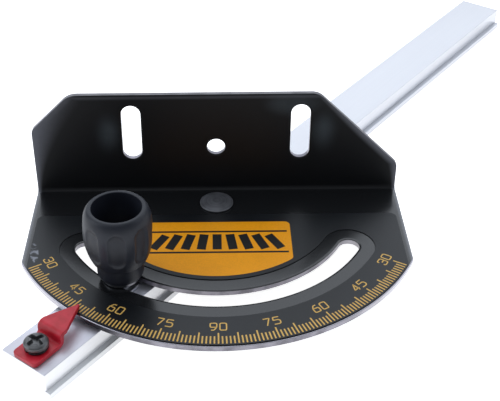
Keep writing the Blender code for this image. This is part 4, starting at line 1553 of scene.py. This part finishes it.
@dataclass
class Clamp:
    """The clamp: stud with its six-sided collar, washer, knob and threaded insert.

    The collar's cone is given as rows of (distance below the collar's top, radius), from its
    underside up. The knob's belly and its flutes' ends are measured from its foot.
    """

    centre: tuple[float, float] = CLAMP_AT
    stud_radius: float = 3.0 * MM
    stud_foot: float = 3.9 * MM
    stud_top: float = 29.4 * MM
    stud_tip: float = 0.5 * MM
    pitch: float = 1.0 * MM
    thread_depth: float = 0.50 * MM
    thread_fade: float = 1.2 * MM
    thread_gap: float = 0.02 * MM
    collar_high: float = 10.7 * MM
    collar_cone: tuple[tuple[float, float], ...] = (
        (0.90 * MM, 5.95 * MM), (0.80 * MM, 6.3 * MM), (0.32 * MM, 6.5 * MM),
        (0.16 * MM, 6.1 * MM), (0.04 * MM, 5.7 * MM), (0.0, 5.55 * MM))
    collar_flat: float = 5.5 * MM
    collar_bore: float = 3.05 * MM
    washer_low: float = 13.4 * MM
    washer_high: float = 15.0 * MM
    washer_inner: float = 3.3 * MM
    washer_outer: float = 6.3 * MM
    knob_foot: float = 15.3 * MM
    knob_height: float = 27.1 * MM
    knob_radius: float = 11.7 * MM
    belly: float = 19.1 * MM
    collar_radius: float = 7.9 * MM
    collar_height: float = 6.3 * MM
    lip_radius: float = 9.1 * MM
    cup_radius: float = 8.3 * MM
    cup_depth: float = 16.0 * MM
    bore: float = 5.3 * MM
    insert_inner: float = 3.3 * MM
    insert_outer: float = 5.0 * MM
    mouth: float = 3.9 * MM
    flutes: int = 8
    flute_width: float = math.radians(30.0)
    flute_depth: float = 0.66 * MM
    flute_low: float = 9.7 * MM
    flute_high: float = 23.8 * MM
    flute_turn: float = math.radians(-50.0)

    def metal(self, name: str, colour: Colour, dark: Colour,
              roughness: float) -> bpy.types.Material:
        """Return a turned finish whose rings run round the clamp's axis."""
        return TurnedMetal(name, colour, dark, roughness, 1.0, (*self.centre, 0.0)).make()

    def build_stud(self) -> None:
        """Build the stud with its thread and a chamfered tip.

        The radius R - d |2 frac(z/p - a/2pi) - 1| gives a triangular thread of depth d and pitch
        p. The thread fades in above the collar.
        """
        rows, columns = 330, 36
        top = self.stud_top
        height = np.linspace(self.stud_foot, top - self.stud_tip, rows)[:, None]
        angle = full_turn(columns)[None, :]
        phase = (height / self.pitch - angle / (2.0 * math.pi)) % 1.0
        thread = self.thread_depth * np.abs(2.0 * phase - 1.0)
        smooth = np.clip((height - self.collar_high) / self.thread_fade, 0.0, 1.0)
        radius = self.stud_radius - thread * smooth - self.thread_gap
        last, middle = radius[-1:], 0.0 * angle
        radius = np.vstack([middle, radius, last - 0.4 * MM, last - 1.0 * MM, middle])
        height = np.vstack([height[:1], height, [[top - 0.15 * MM], [top], [top]]])
        points = placed_round(radius, angle, height, self.centre)
        plated = self.metal("stud_steel", (0.56, 0.57, 0.60), (0.40, 0.41, 0.44), 0.28)
        new_piece("stud_thread", points, grid_faces(len(points), columns), "bar", [plated],
                  "clamp_stud", sharp=50.0)
        self.build_collar(plated)

    def build_collar(self, plated: bpy.types.Material) -> None:
        """Build the collar: the smaller of a hexagon and a cone that chamfers its corners.

        The hexagon's radius at angle a is f / cos(a mod 60 - 30 degrees), with f the distance of
        its flats from the axis.

        Args:
            plated: its finish.
        """
        columns = 120
        angle = full_turn(columns)
        sixth = math.pi / 3.0
        hexagon = self.collar_flat / np.cos((angle + sixth / 2) % sixth - sixth / 2)
        below, cone = np.array(self.collar_cone).T
        bore = np.full((1, columns), self.collar_bore)
        radius = np.vstack([bore, np.minimum(hexagon[None], cone[:, None]), bore])
        height = self.collar_high - np.concatenate([below[:1], below, below[-1:]])
        points = placed_round(radius, angle, height[:, None], self.centre)
        new_piece("stud_collar", points, grid_faces(len(height), columns, across=True), "bar",
                  [plated], sharp=30.0)

    def build_washer(self) -> None:
        """Build the flat washer as an eased ring turned about the clamp's axis."""
        columns = 72
        ring = eased(np.array([
            (self.washer_inner, self.washer_low), (self.washer_outer, self.washer_low),
            (self.washer_outer, self.washer_high), (self.washer_inner, self.washer_high)]),
            0.22 * MM, 4, closed=True)
        plated = self.metal("washer_steel", (0.30, 0.31, 0.34), (0.18, 0.185, 0.20), 0.26)
        new_piece("plain_washer", spun(ring, columns, self.centre),
                  grid_faces(len(ring), columns, across=True), "washer", [plated],
                  "clamp_washer")

    def knob_outside(self) -> np.ndarray:
        """Draw the knob's outside: collar, body that swells to the belly, and round shoulder.

        Returns:
            The profile as (radius, height), from its foot to its lip.
        """
        foot, taper = self.knob_foot, np.linspace(1.0, 0.0, 46)
        skirt = foot + self.collar_height + 0.4 * MM
        belly = foot + self.belly
        start = self.collar_radius + 1.3 * MM
        body = np.column_stack([
            self.knob_radius - (self.knob_radius - start) * taper ** 2.3,
            belly - (belly - skirt) * taper])
        turn = np.linspace(0.0, math.pi / 2, 22)[1:]
        shoulder = np.column_stack([
            self.lip_radius + (self.knob_radius - self.lip_radius) * np.cos(turn),
            belly + (foot + self.knob_height - belly) * np.sin(turn)])
        collar = eased(np.array([
            (self.collar_radius - 0.9 * MM, foot), (self.collar_radius - 0.5 * MM, foot),
            (self.collar_radius, foot + 1.3 * MM), (self.collar_radius, foot + self.collar_height),
            (start - 0.25 * MM, skirt - 0.08 * MM), tuple(body[1])]), 0.25 * MM, 5)
        return np.vstack([collar[:-1], body[1:], shoulder])

    def build_knob(self) -> None:
        """Build the knob.

        Its outside is the turned profile less the flutes. A flute's depth is D(1 - d^4), with d
        the distance from its middle line over its half width, no more than 1.
        """
        columns = 384
        outside = self.knob_outside()
        top = self.knob_foot + self.knob_height
        floor = top - self.cup_depth
        inner = eased(np.array([
            (self.lip_radius - 0.05 * MM, top), (self.cup_radius, top),
            (self.cup_radius - 0.25 * MM, floor + 4 * MM),
            (self.cup_radius - 0.35 * MM, floor), (self.bore, floor), (self.bore, self.knob_foot),
            (self.collar_radius - 0.9 * MM, self.knob_foot)]), 0.38 * MM, 6)
        profile = np.vstack([outside, inner])
        points = spun(profile, columns, (0.0, 0.0))
        angle = full_turn(columns)[None, :]
        rows = np.arange(len(profile))[:, None]
        height = points[..., 2]
        pitch = 2.0 * math.pi / self.flutes
        offset = (angle + pitch / 2) % pitch - pitch / 2
        half = self.knob_radius * self.flute_width / 2
        low, high = self.knob_foot + self.flute_low + half, self.knob_foot + self.flute_high - half
        past = np.maximum(np.maximum(height - high, low - height), 0.0)
        distance = np.hypot(self.knob_radius * offset, past) / half
        depth = self.flute_depth * (1.0 - np.minimum(distance, 1.0) ** 4) * (rows < len(outside))
        radius = np.hypot(points[..., 0], points[..., 1])
        scale = (radius - depth) / np.maximum(radius, 1e-9)
        points[..., :2] *= scale[..., None]
        points = turned_about_z(points.reshape(-1, 3), self.flute_turn) + (*self.centre, 0.0)
        new_piece("knob_grip", points, grid_faces(len(profile), columns, across=True), "knob",
                  [KnobPlastic().make()], "clamp_knob", sharp=60.0)

    def build_insert(self) -> None:
        """Build the threaded brass insert as an eased ring with a countersunk mouth."""
        columns = 64
        low, high = self.knob_foot + 0.3 * MM, self.knob_foot + self.knob_height - self.cup_depth
        ring = eased(np.array([
            (self.insert_inner, low), (self.insert_outer, low), (self.insert_outer, high),
            (self.mouth, high), (self.insert_inner, high - (self.mouth - self.insert_inner))]),
            0.15 * MM, 3, closed=True)
        brass = self.metal("insert_brass", (0.60, 0.42, 0.17), (0.36, 0.24, 0.09), 0.28)
        new_piece("insert_bush", spun(ring, columns, self.centre),
                  grid_faces(len(ring), columns, across=True), "knob", [brass],
                  "knob_insert")

    def build(self) -> None:
        """Build every piece of the clamp."""
        self.build_stud()
        self.build_washer()
        self.build_knob()
        self.build_insert()


@dataclass
class Pointer:
    """The red pointer: foot, riser and arrow of one folded strip."""

    screw: tuple[float, float] = SCREW_AT
    turn: float = math.radians(0.9)
    half: float = 5.1 * MM
    thickness: float = 1.6 * MM
    base_top: float = 11.4 * MM
    arrow_top: float = 15.35 * MM
    foot_start: float = -6.0 * MM
    riser: float = 5.6 * MM
    inner: float = 0.8 * MM
    outer: float = 2.1 * MM
    arrow_length: float = 12.1 * MM
    shoulder: float = 0.8 * MM
    shoulder_round: float = 2.4 * MM
    tip_round: float = 0.4 * MM
    foot_round: float = 1.6 * MM
    hole_radius: float = 2.3 * MM
    edge: float = 0.22 * MM
    bend_steps: int = 8

    def build(self) -> None:
        """Build the pointer from its blank."""
        quarter = math.pi / 2
        rise = self.arrow_top - self.base_top
        fold = Fold((self.foot_start, self.base_top), (
            (self.riser - self.inner - self.foot_start, 0.0), (self.inner * quarter, quarter),
            (rise - self.inner - self.outer, 0.0), (self.outer * quarter, -quarter),
            (self.arrow_length, 0.0)))
        arrow, tip = fold.reach(4), fold.reach(5)
        part = np.linspace(0.0, 1.0, self.bend_steps + 1)
        bends = np.concatenate([fold.reach(run) + part * fold.runs[run][0] for run in (1, 3)])
        right = np.stack([np.full_like(bends, self.half), bends], axis=1)
        point = self.tip_round
        lean = math.atan2(self.half, tip - arrow - self.shoulder)
        corners = np.array([
            (self.half, arrow), (self.half, arrow + self.shoulder),
            (0.0, tip + point / math.sin(lean) - point),
            (-self.half, arrow + self.shoulder), (-self.half, arrow)])
        head = rounded(corners, np.array([self.shoulder_round, point, self.shoulder_round]))[1:-1]
        heel = self.foot_round
        foot = np.vstack([arc((-self.half + heel, heel), heel, 180.0, 270.0, 10),
                          arc((self.half - heel, heel), heel, 270.0, 360.0, 10)])
        outline = np.vstack([foot, right, head, right[::-1] * (-1.0, 1.0)])
        start, count = len(foot), len(bends)
        joins = [(start + i, len(outline) - 1 - i) for i in range(count)]
        hole = arc((0.0, -self.foot_start), self.hole_radius, 0.0, -360.0, 36)[:-1]
        sheet = Sheet([outline, hole], fold, self.thickness, self.edge, joins)
        points, faces, _, normals = sheet.build()
        points = turned_about_z(points, self.turn) + (*self.screw, 0.0)
        new_piece("pointer_blade", points, faces, "pointer", [RedPaint().make()], "pointer",
                  normals=turned_about_z(normals, self.turn))


@dataclass
class PointerScrew:
    """The pan-head screw with its cross recess, and the split washer under its head."""

    centre: tuple[float, float] = SCREW_AT
    seat: float = 12.8 * MM
    radius: float = 4.05 * MM
    height: float = 2.3 * MM
    side: float = 1.0 * MM
    shank: float = 2.0 * MM
    foot: float = 4.3 * MM
    cross_turn: float = math.radians(-8.0)
    cross_half: float = 0.72 * MM
    cross_reach: float = 2.95 * MM
    cross_depth: float = 1.4 * MM
    washer_inner: float = 2.3 * MM
    washer_outer: float = 3.9 * MM
    washer_low: float = 11.75 * MM
    washer_high: float = 12.45 * MM
    washer_from: float = -83.0
    washer_to: float = 263.0
    washer_lift: float = 0.04 * MM

    def cross_bar(self, along: np.ndarray, across: np.ndarray) -> np.ndarray:
        """Shape one bar of the cross: s^2 (3 - 2 s) over its sides and a slope at its tips.

        Args:
            along: each point's distance from the axis along the bar.
            across: its distance across it.

        Returns:
            How deep the bar is there, as a share of the cross's depth.
        """
        side = np.clip((self.cross_half + 0.12 * MM - np.abs(across)) / (0.24 * MM), 0.0, 1.0)
        tip = np.clip((self.cross_reach + 0.1 * MM - np.abs(along)) / (0.7 * MM), 0.0, 1.0)
        return side * side * (3.0 - 2.0 * side) * tip

    def build_screw(self) -> None:
        """Build the screw.

        The head's top is a quarter ellipse over the radius, less the deeper of the cross's bars.
        """
        columns, rings = 144, 54
        angle = full_turn(columns)[None, :]
        lean = np.linspace(0.0, math.pi / 2, rings)[:, None]
        out = self.radius * np.cos(lean) + 0.0 * angle
        dome = self.seat + self.side + (self.height - self.side) * np.sin(lean) + 0.0 * angle
        u = out * np.cos(angle - self.cross_turn)
        v = out * np.sin(angle - self.cross_turn)

        height = dome - self.cross_depth * np.maximum(self.cross_bar(u, v), self.cross_bar(v, u))
        lower = eased(np.array([
            (0.0, self.foot), (self.shank, self.foot), (self.shank, self.seat),
            (self.radius, self.seat), (self.radius, self.seat + self.side)]), 0.18 * MM, 4)
        below = spun(lower[:-1], columns, (0.0, 0.0))
        head = placed_round(out, angle, height, (0.0, 0.0))
        points = np.concatenate([below, head]) + (*self.centre, 0.0)
        oxide = TurnedMetal("screw_oxide", colour=(0.190, 0.190, 0.192),
                            dark=(0.070, 0.070, 0.072), roughness=0.27, metallic=0.75,
                            centre=(*self.centre, 0.0))
        new_piece("screw_head", points, grid_faces(len(points), columns), "bar", [oxide.make()],
                  "pointer_screw", sharp=45.0)

    def build_washer(self) -> None:
        """Build the split washer: its section carried round an open turn, rising slightly."""
        rows = 72
        section = eased(np.array([
            (self.washer_inner, self.washer_low), (self.washer_outer, self.washer_low),
            (self.washer_outer, self.washer_high), (self.washer_inner, self.washer_high)]),
            0.12 * MM, 3, closed=True)
        angle = np.radians(np.linspace(self.washer_from, self.washer_to, rows))[:, None]
        lift = np.linspace(-self.washer_lift, self.washer_lift, rows)[:, None]
        points = placed_round(section[None, :, 0], angle, section[None, :, 1] + lift, self.centre)
        size = len(section)
        faces = [tuple(face) for face in grid_faces(rows, size).tolist()]
        faces += [tuple(range(size)), tuple(range(rows * size - 1, (rows - 1) * size - 1, -1))]
        oxide = TurnedMetal("washer_oxide", colour=(0.050, 0.050, 0.053),
                            dark=(0.020, 0.020, 0.022), roughness=0.34, metallic=0.85,
                            centre=(*self.centre, 0.0))
        new_piece("split_washer", points, faces, "bar", [oxide.make()], "screw_lock_washer")

    def build(self) -> None:
        """Build the screw and its washer."""
        self.build_screw()
        self.build_washer()


# The studio and the camera.


@dataclass(frozen=True)
class SoftBox:
    """A large soft lamp, placed in the head's frame and aimed at the gauge."""

    name: str
    place: tuple[float, float, float]
    width: float
    height: float
    radiance: float
    colour: Colour = (0.86, 0.92, 1.0)
    aim: tuple[float, float, float] = (0.0, 0.0, 0.02)

    def build(self) -> None:
        """Add the lamp. Its power is its radiance times pi times its area."""
        lamp = bpy.data.lights.new(self.name, "AREA")
        lamp.color = self.colour
        lamp.shape = "RECTANGLE"
        lamp.size, lamp.size_y = self.width, self.height
        lamp.energy = self.radiance * math.pi * self.width * self.height
        item = bpy.data.objects.new(self.name, lamp)
        place = Matrix.Rotation(HEAD_TURN, 3, "Z") @ Vector(self.place)
        item.location = place
        item.rotation_euler = (Vector(self.aim) - place).to_track_quat("-Z", "Y").to_euler()
        item.visible_camera = False
        bpy.context.collection.objects.link(item)


@dataclass
class Studio:
    """The pale floor, the soft light and the camera.

    The camera's place, turn, focal length (in millimetres, on a sensor 36 wide) and shift come
    from the photograph's solved view.
    """

    lamps: tuple[SoftBox, ...] = (
        SoftBox("back_light", (0.0, 1.5, 1.0), 3.2, 2.0, 1.15),
        SoftBox("top_light", (-0.25, 0.10, 1.4), 2.0, 1.8, 0.70),
        SoftBox("left_light", (-1.3, -0.10, 0.6), 0.9, 0.9, 2.1),
        SoftBox("right_light", (1.2, 0.25, 0.80), 1.2, 1.0, 1.0),
    )
    floor_half: float = 6.0
    floor_z: float = -0.03 * MM
    floor_colour: Colour = (0.82, 0.82, 0.83)
    floor_seen: float = 0.92
    floor_mirrored: float = 0.75
    sky_colour: Colour = (0.88, 0.93, 1.0)
    sky_strength: float = 0.30
    camera_at: tuple[float, float, float] = (0.18952, -0.24445, 0.23851)
    camera_turn: tuple[float, float, float] = (0.9932, 0.0084, 0.65814)
    focal: float = 73.755
    shift: tuple[float, float] = (0.0747, -0.1015)

    def floor(self) -> None:
        """Add the floor, white to the camera and in gloss, with the gauge's soft shadow."""
        g = Graph("studio_floor")
        path = g.add("ShaderNodeLightPath")
        plain = g.add("ShaderNodeBsdfDiffuse",
                      inputs={"Color": self.floor_colour, "Roughness": 0.0})
        seen = Signal(g, path.outputs["Is Camera Ray"])
        mirrored = Signal(g, path.outputs["Is Glossy Ray"]).most(
            Signal(g, path.outputs["Is Transmission Ray"]))
        surface = plain.outputs[0]
        for ray, strength in ((seen, self.floor_seen), (mirrored, self.floor_mirrored)):
            glow = g.add("ShaderNodeEmission",
                         inputs={"Color": (1.0, 1.0, 1.0), "Strength": strength})
            both = g.add("ShaderNodeAddShader", inputs={0: plain.outputs[0], 1: glow.outputs[0]})
            choice = g.add("ShaderNodeMixShader", inputs={0: ray, 1: surface, 2: both.outputs[0]})
            surface = choice.outputs[0]
        g.feed(g.tree.nodes["Material Output"].inputs["Surface"], surface)
        g.tree.nodes.remove(g.shader)
        size, z = self.floor_half, self.floor_z
        mesh = bpy.data.meshes.new("studio_floor")
        mesh.from_pydata([(-size, -size, z), (size, -size, z), (size, size, z), (-size, size, z)],
                         [], [(0, 1, 2, 3)])
        mesh.materials.append(g.material)
        item = bpy.data.objects.new("studio_floor", mesh)
        bpy.context.collection.objects.link(item)

    def world(self) -> None:
        """Set the surroundings: white to the camera, grey in gloss and as fill."""
        world = bpy.data.worlds.new("studio")
        world.use_nodes = True
        tree = world.node_tree
        sky = tree.nodes["Background"]
        sky.inputs["Color"].default_value = (*self.sky_colour, 1.0)
        sky.inputs["Strength"].default_value = self.sky_strength
        plain = tree.nodes.new("ShaderNodeBackground")
        plain.inputs["Color"].default_value = (1.0, 1.0, 1.0, 1.0)
        path = tree.nodes.new("ShaderNodeLightPath")
        choice = tree.nodes.new("ShaderNodeMixShader")
        tree.links.new(path.outputs["Is Camera Ray"], choice.inputs[0])
        tree.links.new(sky.outputs[0], choice.inputs[1])
        tree.links.new(plain.outputs[0], choice.inputs[2])
        tree.links.new(choice.outputs[0], tree.nodes["World Output"].inputs["Surface"])
        bpy.context.scene.world = world

    def camera(self) -> None:
        """Add the camera where the photograph was taken."""
        lens = bpy.data.cameras.new("photo_camera")
        lens.sensor_fit = "HORIZONTAL"
        lens.sensor_width = 36.0
        lens.lens = self.focal
        lens.shift_x, lens.shift_y = self.shift
        lens.clip_start = 0.01
        item = bpy.data.objects.new("photo_camera", lens)
        item.location = self.camera_at
        item.rotation_euler = self.camera_turn
        bpy.context.collection.objects.link(item)
        bpy.context.scene.camera = item

    def build(self) -> None:
        """Set up the floor, lamps, surroundings, camera and view."""
        self.floor()
        for lamp in self.lamps:
            lamp.build()
        self.world()
        self.camera()
        bpy.context.scene.view_settings.view_transform = "Standard"


def dress_spacer(frame: dict) -> None:
    """Give the plain spacer under the sheet its plated finish.

    Args:
        frame: the loaded frame.
    """
    spacer = frame["nodes"]["pivot_spacer"]
    plated = TurnedMetal("spacer_steel", (0.50, 0.51, 0.54), (0.34, 0.35, 0.38), 0.30).make()
    spacer.data.materials.clear()
    spacer.data.materials.append(plated)
    LOG.info("pivot_spacer: dressed")


def main() -> None:
    """Build the gauge on its frame, then the studio."""
    logging.basicConfig(level=logging.INFO, format="%(name)s %(message)s")
    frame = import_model()
    parts = (GuideBar(), ProtractorHead(), ScaleLabel(), PivotPin(), Clamp(), Pointer(),
             PointerScrew())
    for part in parts:
        part.build()
    dress_spacer(frame)
    Studio().build()


if __name__ == "__main__":
    main()
